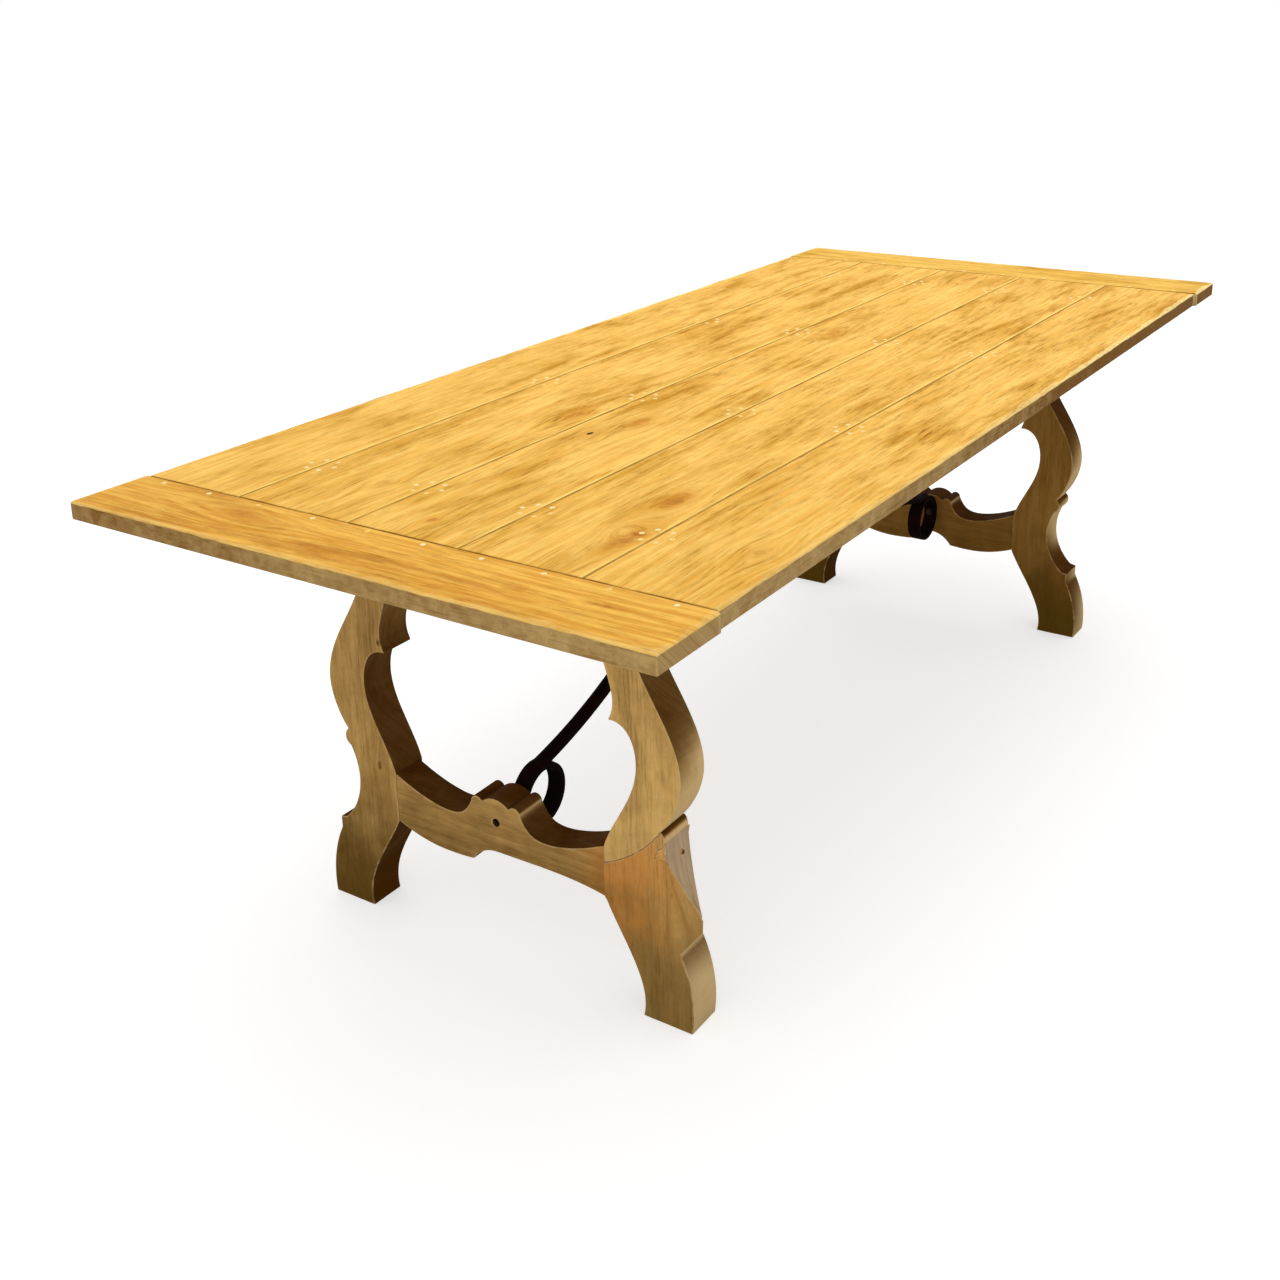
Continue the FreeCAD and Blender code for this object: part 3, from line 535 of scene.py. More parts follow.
class Finish:
    """The nodes of one material, or of the world."""

    MIX_FACTOR, MIX_FIRST, MIX_SECOND, MIX_RESULT = 0, 6, 7, 2

    def __init__(self, owner):
        self.owner = owner
        owner.use_nodes = True
        self.tree = owner.node_tree
        self.tree.nodes.clear()

    def add(self, kind, settings=None, sockets=None, output=0):
        """A node of that kind, with its settings made first and its sockets set or linked."""
        node = self.tree.nodes.new(kind)
        for name, value in (settings or {}).items():
            setattr(node, name, value)
        for name, value in (sockets or {}).items():
            if isinstance(value, Shade):
                self.tree.links.new(value.socket, node.inputs[name])
            else:
                node.inputs[name].default_value = value
        return Shade(self, node.outputs[output]) if node.outputs else None

    def place(self):
        """The three Object coordinates of a point on the surface."""
        spot = self.add("ShaderNodeTexCoord", output="Object")
        return [self.add("ShaderNodeSeparateXYZ", None, {0: spot}, part) for part in (X, Y, Z)]

    def attribute(self, name):
        return self.add("ShaderNodeAttribute", {"attribute_name": name}, None, "Fac")

    def noise(self, grain, along, across, seed):
        """A noise stretched along the grain, from 0 to 1."""
        stretched = {X: along * grain.along, Y: across * grain.across, Z: seed}
        spot = self.add("ShaderNodeCombineXYZ", None, stretched)
        sockets = {"Vector": spot, "Scale": 1.0, "Detail": grain.detail, "Roughness": grain.rough}
        return self.add("ShaderNodeTexNoise", {"noise_dimensions": "3D"}, sockets)

    def ease(self, value, low, high):
        """0 at low, 1 at high and a smooth climb between; high may lie under low."""
        settings = {"interpolation_type": "SMOOTHSTEP"}
        return self.add("ShaderNodeMapRange", settings, {0: value, 1: low, 2: high, 3: 0.0, 4: 1.0})

    def wave(self, value):
        """A sine from 0 to 1."""
        return (self.add("ShaderNodeMath", {"operation": "SINE"}, {0: value}) + 1) / 2

    def larger(self, first, second):
        return self.add("ShaderNodeMath", {"operation": "MAXIMUM"}, {0: first, 1: second})

    def blend(self, factor, first, second):
        """The first colour, turned into the second by a factor."""
        sockets = {self.MIX_FACTOR: factor, self.MIX_FIRST: first, self.MIX_SECOND: second}
        return self.add("ShaderNodeMix", {"data_type": "RGBA"}, sockets, self.MIX_RESULT)

    def bump(self, height, depth):
        return self.add("ShaderNodeBump", None, {"Height": height, "Distance": depth})

    def close(self, colour, rough, normal, **constants):
        """Ends a material in one surface shader."""
        sockets = {"Base Color": colour, "Roughness": rough, "Normal": normal}
        sockets.update({name.replace("_", " "): value for name, value in constants.items()})
        surface = self.add("ShaderNodeBsdfPrincipled", None, sockets)
        self.add("ShaderNodeOutputMaterial", None, {"Surface": surface})
        return self.owner

    def close_wood(self, colour, figure, smudge, surface):
        """Ends a wood in its colour, with the relief and the shine of its surface."""
        rough = figure.stain * surface.stain_rough + figure.fleck * surface.fleck_rough + surface.rough
        height = figure.streak * surface.streak + figure.line * surface.line
        height = height + figure.fleck * surface.fleck + smudge * surface.smudge
        return self.close(colour, rough, self.bump(height, surface.depth), Specular_IOR_Level=surface.shine)


class Figure(NamedTuple):
    """What the grain shows at a point, each a value from 0 to 1."""

    streak: Shade
    line: Shade
    fleck: Shade
    stain: Shade
    heart: Shade
    halo: Shade


def grain_figure(finish, along, across, flat, seed, knots):
    """Streaks, lines, flecks, stains and knots; flat is the place across the grain that knots go by."""
    wander = finish.noise(WANDER, along, across, seed) - NOISE_MIDDLE
    bent = across + wander * WANDER_DEPTH
    nothing = wander * 0.0
    heart, halo = nothing, nothing
    for knot in knots:
        sideways = flat - knot.across
        run = (along - knot.along) * (1 / knot.half_length)
        rise = sideways * (1 / knot.half_width)
        ragged = (finish.noise(CHIPS, along, flat, seed) - NOISE_MIDDLE) * KNOT_RAGGED
        spread = run * run + rise * rise + ragged
        bent = bent - sideways * (math.e ** (spread * KNOT_SPREAD)) * KNOT_PULL
        mark = finish.ease(spread, *KNOT_SPAN) * knot.dark
        if knot.dark <= 1:
            mark = mark * finish.wave(spread * RING_TURNS).between(*RING_SHARES)
            halo = finish.larger(halo, math.e ** (spread * HALO_SPREAD) * knot.dark)
        heart = finish.larger(heart, mark)
    streak = finish.ease(finish.noise(STREAKS, along, bent, seed + STREAK_SEED), *STREAK_SPAN)
    line = finish.wave(finish.noise(FIGURE, along, bent, seed + FIGURE_SEED) * FIGURE_TURNS) ** LINE_POWER
    stain = finish.ease(finish.noise(STAINS, along, bent, seed + STAIN_SEED), *STAIN_SPAN)
    fleck = finish.ease(finish.noise(FLECKS, along, bent, seed + FLECK_SEED), *FLECK_SPAN)
    return Figure(streak, line, fleck * stain.between(*FLECK_IN_STAIN), stain, heart, halo)


def top_finish(name, colours, settings, seed, run, knots, box, sides):
    """Waxed honey wood of the top, its grain along X for a board and along Y for a breadboard."""
    finish = Finish(bpy.data.materials.new(name))
    spot = finish.place()
    along = spot[run]
    flat = spot[1 - run]
    across = flat + spot[Z]
    figure = grain_figure(finish, along, across, flat, seed, knots)
    chips = finish.ease(finish.noise(CHIPS, along, across, seed + CHIP_SEED), *CHIP_SPAN)
    smudge = finish.ease(finish.noise(SMUDGES, along, across, seed + SMUDGE_SEED), *SMUDGE_SPAN)
    bare = finish.ease(spot[X], *BARE_ALONG).between(*BARE_SHARES)
    strength = finish.ease(spot[X], *GRAIN_ALONG).between(*GRAIN_SHARES)
    light, middle, dark = (paint(colour) for colour in colours)
    colour = finish.blend(figure.streak, light, middle)
    lines = figure.line * (figure.stain * TOP_LINE_IN_STAIN + figure.halo * TOP_LINE_AT_KNOT + TOP_LINE)
    colour = finish.blend((figure.stain * TOP_STAIN + lines + chips * TOP_CHIP) * strength, colour, dark)
    if run == Y:
        handled = finish.ease(spot[Y], *HANDLED_ACROSS) * finish.ease(spot[X], *HANDLED_ALONG)
        colour = finish.blend(handled * HANDLED_SHARE, colour, dark)
    colour = finish.blend(figure.halo * HALO_SHARE, colour, paint(settings.halo))
    colour = finish.blend(figure.fleck * TOP_FLECK * strength, colour, paint(settings.pore))
    heart = figure.heart * (figure.streak * HEART_STREAK + chips * HEART_CHIP + HEART_LEAST)
    colour = finish.blend(heart, colour, paint(settings.knot))
    colour = finish.blend(finish.ease(figure.heart, *HOLE_SPAN), colour, paint(settings.hole))
    for side in sides:
        limit = box[1 if side.sign > 0 else 0][side.axis]
        inside = (limit - spot[side.axis]) * float(side.sign)
        if side.rim:
            band = finish.ease(inside + smudge * RIM_UNEVEN, *RIM_BAND) * chips.between(*RIM_SHARES)
            colour = finish.blend(band * bare, colour, paint(settings.worn))
        # Painted highlight: a pale band along the right edge of each board, beside its seam
        elif side == Side(Y, -1, False):
            band = finish.ease(inside, *SEAM_BAND) * smudge.between(*SEAM_BAND_SHARES)
            colour = finish.blend(band, colour, paint(settings.band))
        else:
            soil = finish.ease(inside, *SEAM_SOIL) * smudge * SEAM_SOIL_SHARE
            colour = finish.blend(soil, colour, paint(settings.pore))
            from_seam = inside
    # Painted shade: the sides of the top darken towards the left and the far end, on top of their smudges,
    # chips and flecks
    shaded = finish.ease(spot[Y], *SIDE_ACROSS) * SIDE_ACROSS_SHARE
    shaded = shaded + finish.ease(spot[X], *SIDE_ALONG) * SIDE_ALONG_SHARE
    darkening = smudge * SIDE_SMUDGE + chips * SIDE_CHIP + figure.fleck * SIDE_FLECK + shaded
    dirty_shaded_side = finish.blend(darkening, paint(settings.side), paint(settings.seam))
    upright = finish.attribute("side")
    colour = finish.blend(upright * SIDE_SHARE, colour, dirty_shaded_side)
    # Painted light: pale colour on a breadboard's face towards the boards, near the seam, stands for light
    # showing through the open seam
    if run == Y:
        ending = finish.ease(from_seam, *ENDING_BAND) * upright * bare * smudge.between(*ENDING_SHARES)
        colour = finish.blend(ending, colour, paint(settings.worn))
    rubbed = finish.attribute("arris") * bare * chips.between(*TOP_ARRIS_SHARES)
    colour = finish.blend(rubbed, colour, paint(settings.worn))
    groove = finish.attribute("seam") * smudge.between(*SEAM_SHARES)
    colour = finish.blend(groove, colour, paint(settings.seam))
    return finish.close_wood(colour, figure, smudge, TOP_SURFACE)


def trestle_finish(name, settings, seed, run, knots=(), painted_lit=False, warmth=0.0, painted_gloom=0.0, warm_end=None):
    """Dry khaki wood of the trestles, its grain up Z for an upright and along Y for a rail."""
    finish = Finish(bpy.data.materials.new(name))
    spot = finish.place()
    along = spot[run]
    flat = spot[Y + Z - run]
    across = flat + spot[X] * THROUGH_SHARE
    figure = grain_figure(finish, along, across, flat, seed, knots)
    # Painted light: the near right leg and its mended foot take a lit copy of the wood colours
    light = paint(settings.painted_lit_light if painted_lit else settings.light)
    middle = paint(settings.painted_lit_middle if painted_lit else settings.middle)
    dark = paint(settings.dark)
    warm = paint(settings.warm)
    smudge = finish.ease(finish.noise(SMUDGES, along, across, seed + SMUDGE_SEED), *SMUDGE_SPAN)
    chips = finish.ease(finish.noise(CHIPS, along, across, seed + CHIP_SEED), *FINE_CHIP_SPAN)
    colour = finish.blend(figure.streak, light, middle)
    colour = finish.blend(figure.stain * TRESTLE_STAIN + figure.line * TRESTLE_LINE, colour, dark)
    colour = finish.blend(figure.fleck * TRESTLE_FLECK, colour, paint(settings.pore))
    colour = finish.blend(smudge * TRESTLE_SMUDGE + chips * TRESTLE_CHIP, colour, dark)
    # Painted shade for the far trestle and the pieces under the top
    if painted_gloom:
        colour = finish.blend(painted_gloom, colour, paint(settings.painted_gloom))
    if warmth:
        inwards = finish.ease(spot[Y] + smudge * WARM_ACROSS_UNEVEN, *WARM_ACROSS)
        rise = finish.ease(spot[Z] + smudge * WARM_HEIGHT_UNEVEN, *WARM_HEIGHT)
        colour = finish.blend(inwards * rise * warmth, colour, warm)
    if warm_end:
        ending = finish.ease(along + smudge * WARM_END_UNEVEN, *warm_end)
        colour = finish.blend(ending * WARM_END_SHARE, colour, warm)
    low = finish.ease(spot[Z] + smudge * FOOT_UNEVEN, *FOOT_HEIGHT)
    colour = finish.blend(low * (WARM_FOOT_SHARE if warmth else FOOT_SHARE), colour, paint(settings.foot))
    # Painted light on carved walls that look outwards
    painted_lit_walls = finish.attribute("painted_wall_light") * smudge.between(*LIT_WALL_SHARES)
    colour = finish.blend(painted_lit_walls, colour, paint(settings.painted_lit_walls))
    colour = finish.blend(figure.heart, colour, paint(settings.pore))
    rubbed = finish.attribute("arris") * chips.between(*TRESTLE_ARRIS_SHARES)
    colour = finish.blend(rubbed, colour, paint(settings.worn))
    # Painted shade on ledges, inner walls and walls near the front of the uprights
    painted_ledge_shade = finish.attribute("ledge_shade") * smudge.between(*LEDGE_SHARES)
    colour = finish.blend(painted_ledge_shade, colour, paint(settings.shade))
    return finish.close_wood(colour, figure, smudge, TRESTLE_SURFACE)


def block_finish(name, settings, seed):
    """Pale planed face of the mending block over warm wood."""
    finish = Finish(bpy.data.materials.new(name))
    spot = finish.place()
    along = spot[Z]
    across = spot[Y] + spot[X]
    figure = grain_figure(finish, along, across, across, seed, ())
    # The front mixes the painted-lit wood of the near right leg with the warm mended wood
    warmed = figure.streak.between(*BLOCK_FRONT_SHARES)
    front = finish.blend(warmed, paint(settings.painted_lit_middle), paint(settings.warm))
    smudge = finish.ease(finish.noise(SMUDGES, along, across, seed + SMUDGE_SEED), *BLOCK_SMUDGE_SPAN)
    darkening = figure.streak * BLOCK_STREAK + smudge * BLOCK_SMUDGE
    facet = finish.blend(darkening, paint(settings.pale), paint(settings.dark))
    colour = finish.blend(finish.attribute("facet"), front, facet)
    colour = finish.blend(figure.fleck * BLOCK_FLECK, colour, paint(settings.pore))
    colour = finish.blend(finish.attribute("arris") * BLOCK_ARRIS, colour, paint(settings.worn))
    height = figure.streak * BLOCK_STREAK_RISE - figure.fleck * BLOCK_FLECK_DEPTH + smudge
    normal = finish.bump(height, BLOCK_DEPTH)
    return finish.close(colour, smudge.between(*BLOCK_ROUGH), normal, Specular_IOR_Level=BLOCK_SHINE)


def peg_finish(name, settings, seed):
    """Pale riven pegs, each a little different."""
    finish = Finish(bpy.data.materials.new(name))
    x, y, z = finish.place()
    mottle = finish.noise(SMUDGES, x + z, y, seed)
    speck = finish.noise(CHIPS, x * PEG_SPECK_SCALE, y * PEG_SPECK_SCALE + z, seed + SPECK_SEED)
    mottled = finish.ease(mottle, *PEG_MOTTLE_SPAN)
    colour = finish.blend(mottled, paint(settings.peg), paint(settings.light))
    colour = finish.blend(finish.ease(speck, *PEG_SPECK_SPAN) * PEG_SPECK, colour, paint(settings.dark))
    normal = finish.bump(speck, PEG_DEPTH)
    return finish.close(colour, mottle.between(*PEG_ROUGH), normal, Specular_IOR_Level=PEG_SHINE)


def metal_finish(name, main, bloom, metal, rough, seed):
    """Hammered metal with a bloom of rust."""
    finish = Finish(bpy.data.materials.new(name))
    x, y, z = finish.place()
    dents = finish.noise(DENTS, x + z * DENT_TURN[0], y + z * DENT_TURN[1], seed)
    bloomed = finish.noise(BLOOM, x + y, z + y * BLOOM_TURN, seed + BLOOM_SEED)
    bloomed = finish.ease(bloomed, *BLOOM_SPAN)
    colour = finish.blend(bloomed, paint(main), paint(bloom))
    rough = bloomed * BLOOM_ROUGH + rough
    normal = finish.bump(dents + bloomed * BLOOM_RISE, METAL_DEPTH)
    return finish.close(colour, rough, normal, Metallic=metal, Specular_IOR_Level=METAL_SHINE)


# Mesh work


def add_piece(shape, name, node, material):
    """Makes a piece of a finished bmesh, which stands for a node of the frame."""
    mesh = bpy.data.meshes.new(name)
    shape.to_mesh(mesh)
    shape.free()
    mesh.materials.append(material)
    mesh.shade_smooth()
    piece = bpy.data.objects.new(name, mesh)
    bpy.context.scene.collection.objects.link(piece)
    even = piece.modifiers.new("Even shading", "WEIGHTED_NORMAL")
    even.keep_sharp = True
    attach(piece, BODY)
    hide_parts(node)
    return piece


def mark_faces(shape, name, measure):
    """Keeps a value on each face for the finish to read."""
    layer = shape.faces.layers.float.new(name)
    for face in shape.faces:
        face[layer] = measure(face)


def round_arrises(shape, radius, edges):
    """Rounds the edges given and marks the new faces as worn."""
    layer = shape.faces.layers.float.new("arris")
    made = bmesh.ops.bevel(
        shape,
        geom=edges,
        offset=radius,
        offset_type="OFFSET",
        segments=ARRIS_SEGMENTS,
        profile=0.5,
        affect="EDGES",
        material=-1,
        clamp_overlap=False,
    )
    for face in made["faces"]:
        face[layer] = 1.0


def sharp_edges(shape, angle):
    return [edge for edge in shape.edges if edge.is_manifold and edge.calc_face_angle() > angle]


def cut_block(low, high):
    """A box between two corners."""
    shape = bmesh.new()
    bmesh.ops.create_cube(shape, size=1.0)
    bmesh.ops.scale(shape, vec=high - low, verts=shape.verts)
    bmesh.ops.translate(shape, vec=(low + high) / 2, verts=shape.verts)
    return shape


def cut_plank(low, high, run, step):
    """A box between two corners, cut across its length into short stretches."""
    shape = cut_block(low, high)
    long_edges = [edge for edge in shape.edges if abs(edge.verts[0].co[run] - edge.verts[1].co[run]) > step]
    cuts = round((high - low)[run] / step) - 1
    bmesh.ops.subdivide_edges(shape, edges=long_edges, cuts=cuts, use_grid_fill=True)
    return shape


def edge_wear(run_place, seed):
    """How much of an edge is worn away at a place along it, from 0 to 1."""
    wear = MIDDLE_WEAR
    for wave in WEAR_WAVES:
        wear += wave.share * noise.noise(Vector((run_place * wave.often, seed, wave.place)))
    return min(1.0, max(0.0, wear))


def wear_edges(shape, box, sides, settings, seed):
    """Rubs the top edges back by uneven amounts, more on the rim than along the seams."""
    low, high = box
    reach = settings.rounding * WEAR_REACH_SHARE
    for vertex in shape.verts:
        below_top = high.z - vertex.co.z
        if below_top > reach:
            continue
        for side in sides:
            limit = high[side.axis] if side.sign > 0 else low[side.axis]
            inside = (limit - vertex.co[side.axis]) * side.sign
            if inside > reach:
                continue
            depth = settings.rim_wear if side.rim else settings.seam_wear
            amount = depth * edge_wear(vertex.co[1 - side.axis], seed + side.axis + 2 * side.sign)
            vertex.co[side.axis] -= side.sign * amount * (1 - below_top / reach)
            vertex.co.z -= amount * WEAR_DROP_SHARE * (1 - inside / reach)


def mark_seams(shape, box, sides, reach):
    """Turns the worn faces along a seam into the dirty walls of its groove."""
    arris = shape.faces.layers.float["arris"]
    seam = shape.faces.layers.float.new("seam")
    low, high = box
    for face in shape.faces:
        middle = face.calc_center_median()
        for side in sides:
            limit = high[side.axis] if side.sign > 0 else low[side.axis]
            if face[arris] and not side.rim and (limit - middle[side.axis]) * side.sign < reach:
                face[arris], face[seam] = 0.0, 1.0


def make_plank(box, run, sides, settings, seed):
    """One worn plank of the top, as a bmesh with its faces marked."""
    shape = cut_plank(box[0], box[1], run, settings.wear_step)
    round_arrises(shape, settings.rounding, sharp_edges(shape, ARRIS_ANGLE))
    mark_seams(shape, box, sides, settings.rounding)
    arris = shape.faces.layers.float["arris"]
    shape.normal_update()
    for face in shape.faces:
        if face.normal.z < -CORNER_LIMIT:
            face[arris] *= LOWER_WEAR
    wear_edges(shape, box, sides, settings, seed)
    shape.normal_update()
    mark_faces(shape, "side", lambda face: float(face.normal.z < UP_LIMIT))
    return shape


def carve_copy(node, rounding, plain=None, joined=None):
    """A merged copy of a node with rounded edges; plain places show no wear, joined ones stay square."""
    shape = bmesh.new()
    shape.from_mesh(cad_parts[node].data)
    bmesh.ops.remove_doubles(shape, verts=shape.verts, dist=MERGE_DISTANCE)
    bmesh.ops.dissolve_limit(shape, angle_limit=FLAT_ANGLE, verts=shape.verts, edges=shape.edges)
    edges = sharp_edges(shape, ARRIS_ANGLE)
    if joined:
        edges = [edge for edge in edges if not all(joined(vertex.co) for vertex in edge.verts)]
    round_arrises(shape, rounding, edges)
    shape.normal_update()
    if plain:
        arris = shape.faces.layers.float["arris"]
        for face in shape.faces:
            if plain(face.calc_center_median()):
                face[arris] = 0.0
    return shape


def climb(value, low, high):
    """0 at low, 1 at high and a smooth climb between."""
    share = min(1.0, max(0.0, (value - low) / (high - low)))
    return share * share * (3 - 2 * share)


def wall_shares(normal, place, start):
    """How much painted shade and how much painted light a carved wall gets; start is the upward lean where
    the painted shade begins.
    """
    outwards = math.copysign(normal.y, normal.y * place.y)
    upwards = climb(normal.z, start, LEDGE_FULL)
    inner = climb(-outwards, *INNER_LEAN) * (INNER_SHADE - INNER_LOSS * climb(place.z, *INNER_HEIGHT))
    return max(upwards, inner), climb(outwards, *OUTER_LEAN) * (1 - upwards)


def mark_walls(shape, front_shade=0.0, facet=None):
    """Marks where a carved piece gets painted shade and painted light; a facet stays as the flat faces are.
    """
    ledge_shade = shape.loops.layers.float.new("ledge_shade")
    painted_wall_light = shape.loops.layers.float.new("painted_wall_light")
    front = min(vertex.co.x for vertex in shape.verts)
    back = max(vertex.co.x for vertex in shape.verts)
    for face in shape.faces:
        if abs(face.normal.x) > FACING_LIMIT or (facet and facet(face.calc_center_median())):
            continue
        for corner in face.loops:
            place = corner.vert.co
            around = [near.normal for near in corner.vert.link_faces]
            alike = [normal for normal in around if normal.dot(face.normal) > SMOOTH_LIMIT]
            # Towards the front of a piece, the painted shade starts on walls that lean up less
            start = LEDGE_START - front_shade * (back - place.x) / (back - front)
            corner[ledge_shade], corner[painted_wall_light] = wall_shares(sum(alike, Vector()).normalized(), place, start)


# Operators


class TABLE_OT_boards(bpy.types.Operator):
    """Lay the five long boards of the top"""

    bl_idname = "table.boards"
    bl_label = "Boards"

    def execute(self, context):
        settings = context.scene.table_top
        near_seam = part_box("breadboard_near")[1].x
        far_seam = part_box("breadboard_far")[0].x
        names = [f"top_board_{number}" for number in range(1, BOARD_COUNT + 1)]
        for seed, node in enumerate(names):
            low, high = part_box(node)
            low.x, high.x = near_seam, far_seam
            high.z -= settings.peg_stand
            box = (low, high)
            sides = (
                Side(X, -1, False),
                Side(X, 1, False),
                Side(Y, -1, node == names[-1]),
                Side(Y, 1, node == names[0]),
            )
            shape = make_plank(box, X, sides, settings, seed * WEAR_SEED_STEP)
            if node == names[-1]:
                for vertex in shape.verts:
                    share = (high.y - vertex.co.y) / (high.y - low.y)
                    if vertex.co.x > far_seam - settings.wear_step / 2:
                        vertex.co.x -= settings.seam_gap * share**SEAM_OPENING
            colours = (settings.light, settings.middle, settings.dark)
            knots = KNOTS.get(node, ())
            finish = top_finish(f"honey_{node}", colours, settings, seed * SEED_STEP, X, knots, box, sides)
            add_piece(shape, f"worn_{node}", node, finish)
        return {"FINISHED"}


class TABLE_OT_breadboards(bpy.types.Operator):
    """Lay the two breadboard ends across the boards"""

    bl_idname = "table.breadboards"
    bl_label = "Breadboard ends"

    def execute(self, context):
        settings = context.scene.table_top
        near = (settings.end_light, settings.end_middle, settings.end_dark)
        far = (settings.far_light, settings.far_middle, settings.dark)
        for seed, (end, colours) in enumerate((("near", near), ("far", far))):
            node = f"breadboard_{end}"
            low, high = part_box(node)
            high.z -= settings.peg_stand
            box = (low, high)
            outer = 1 if end == "far" else -1
            sides = (Side(X, outer, True), Side(X, -outer, False), Side(Y, -1, True), Side(Y, 1, True))
            shape = make_plank(box, Y, sides, settings, BREADBOARD_WEAR_SEED + seed * WEAR_SEED_STEP)
            knots = KNOTS.get(node, ())
            grain_seed = BREADBOARD_SEED + seed * SEED_STEP
            finish = top_finish(f"ochre_{node}", colours, settings, grain_seed, Y, knots, box, sides)
            add_piece(shape, f"worn_{node}", node, finish)
        return {"FINISHED"}


class TABLE_OT_pegs(bpy.types.Operator):
    """Finish the pegs of the top and the dowels of the mended leg"""

    bl_idname = "table.pegs"
    bl_label = "Pegs"

    def execute(self, context):
        finish = peg_finish("riven_peg", context.scene.table_top, PEG_SEED)
        for name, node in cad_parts.items():
            if "_pegs_" in name or name == "mending_dowels":
                node.material_slots[0].material = finish
        return {"FINISHED"}


class TABLE_OT_cross_pieces(bpy.types.Operator):
    """Fix the cleats and battens under the top"""

    bl_idname = "table.cross_pieces"
    bl_label = "Cleats and battens"

    def execute(self, context):
        settings = context.scene.table_trestles
        for seed, node in enumerate(("cleat_near", "batten_near", "batten_far", "cleat_far")):
            low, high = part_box(node)
            shape = cut_block(low, high)
            middle = (low + high) / 2
            for vertex in shape.verts:
                if vertex.co.z < middle.z:
                    vertex.co.y -= math.copysign(settings.end_slope, vertex.co.y - middle.y)
            shape.normal_update()
            round_arrises(shape, settings.rounding, sharp_edges(shape, ARRIS_ANGLE))
            shape.normal_update()
            grain_seed = CROSS_PIECE_SEED + seed * SEED_STEP
            finish = trestle_finish(f"sawn_{node}", settings, grain_seed, Y, painted_gloom=UNDER_GLOOM)
            add_piece(shape, f"sawn_{node}", node, finish)
        return {"FINISHED"}


class TABLE_OT_trestles(bpy.types.Operator):
    """Carve the uprights and cross rails"""

    bl_idname = "table.trestles"
    bl_label = "Trestles"

    def execute(self, context):
        settings = context.scene.table_trestles
        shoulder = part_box("mended_foot")[1].y

        def joined(place):
            return abs(place.y - shoulder) < JOINT_REACH

        pieces = [(f"upright_{end}_{side}", Z) for end in ("near", "far") for side in ("left", "right")]
        pieces += [(f"cross_rail_{end}", Y) for end in ("near", "far")]
        for seed, (node, run) in enumerate(pieces):
            shape = carve_copy(node, settings.rounding, joined=joined if node == "cross_rail_near" else None)
            mark_walls(shape, FRONT_SHADE if run == Z else 0.0)
            finish = trestle_finish(
                f"khaki_{node}",
                settings,
                TRESTLE_SEED + seed * SEED_STEP,
                run,
                knots=KNOTS.get(node, ()),
                painted_lit=node == "upright_near_right",
                painted_gloom=FAR_GLOOM if "far" in node else 0.0,
                warm_end=WARM_END if node == "cross_rail_near" else None,
            )
            add_piece(shape, f"carved_{node}", node, finish)
        return {"FINISHED"}


class TABLE_OT_mended_leg(bpy.types.Operator):
    """Carve the mended foot and the block in its hollow"""

    bl_idname = "table.mended_leg"
    bl_label = "Mended leg"

    def execute(self, context):
        settings = context.scene.table_trestles
        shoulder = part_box("mended_foot")[1].y
        low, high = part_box("mending_block")

        def joined(place):
            return abs(place.y - shoulder) < JOINT_REACH

        def facet(place):
            return place.y < high.y and low.z - FACET_MARGIN < place.z < high.z - FACET_MARGIN

        def plain(place):
            return facet(place) and place.x < low.x + JOINT_REACH

        foot = carve_copy("mended_foot", settings.rounding, plain, joined)
        mark_walls(foot, facet=facet)
        # Painted highlight: the edges of the facet take more of the pale edge colour
        arris = foot.faces.layers.float["arris"]
        for face in foot.faces:
            if facet(face.calc_center_median()):
                face[arris] *= RIDGE_HIGHLIGHT
        finish = trestle_finish(
            "warm_mended_foot", settings, FOOT_SEED, Z, painted_lit=True, warmth=MENDED_WARMTH
        )
        add_piece(foot, "carved_mended_foot", "mended_foot", finish)
        block = carve_copy("mending_block", settings.rounding, plain)
        mark_faces(block, "facet", lambda face: float(face.normal.y < -FACING_LIMIT))
        finish = block_finish("pale_block", settings, BLOCK_SEED)
        add_piece(block, "planed_mending_block", "mending_block", finish)
        return {"FINISHED"}


class TABLE_OT_stretchers(bpy.types.Operator):
    """Forge the two curved iron stretchers"""

    bl_idname = "table.stretchers"
    bl_label = "Iron stretchers"

    def execute(self, context):
        settings = context.scene.table_metal
        finish = metal_finish(
            "forged_iron", settings.iron, settings.rust, IRON_METAL, IRON_ROUGH, IRON_SEED
        )
        for end in ("near", "far"):
            node = f"iron_stretcher_{end}"
            add_piece(carve_copy(node, settings.rounding), f"forged_{node}", node, finish)
        return {"FINISHED"}


class TABLE_OT_fastenings(bpy.types.Operator):
    """Finish the bolts, washers, nuts, screws and nail"""

    bl_idname = "table.fastenings"
    bl_label = "Fastenings"

    def execute(self, context):
        settings = context.scene.table_metal
        finish = metal_finish(
            "worn_steel", settings.steel, settings.rust, STEEL_METAL, STEEL_ROUGH, STEEL_SEED
        )
        for name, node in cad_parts.items():
            if name.startswith(("stretcher_", "mending_nail")):
                node.material_slots[0].material = finish
        return {"FINISHED"}


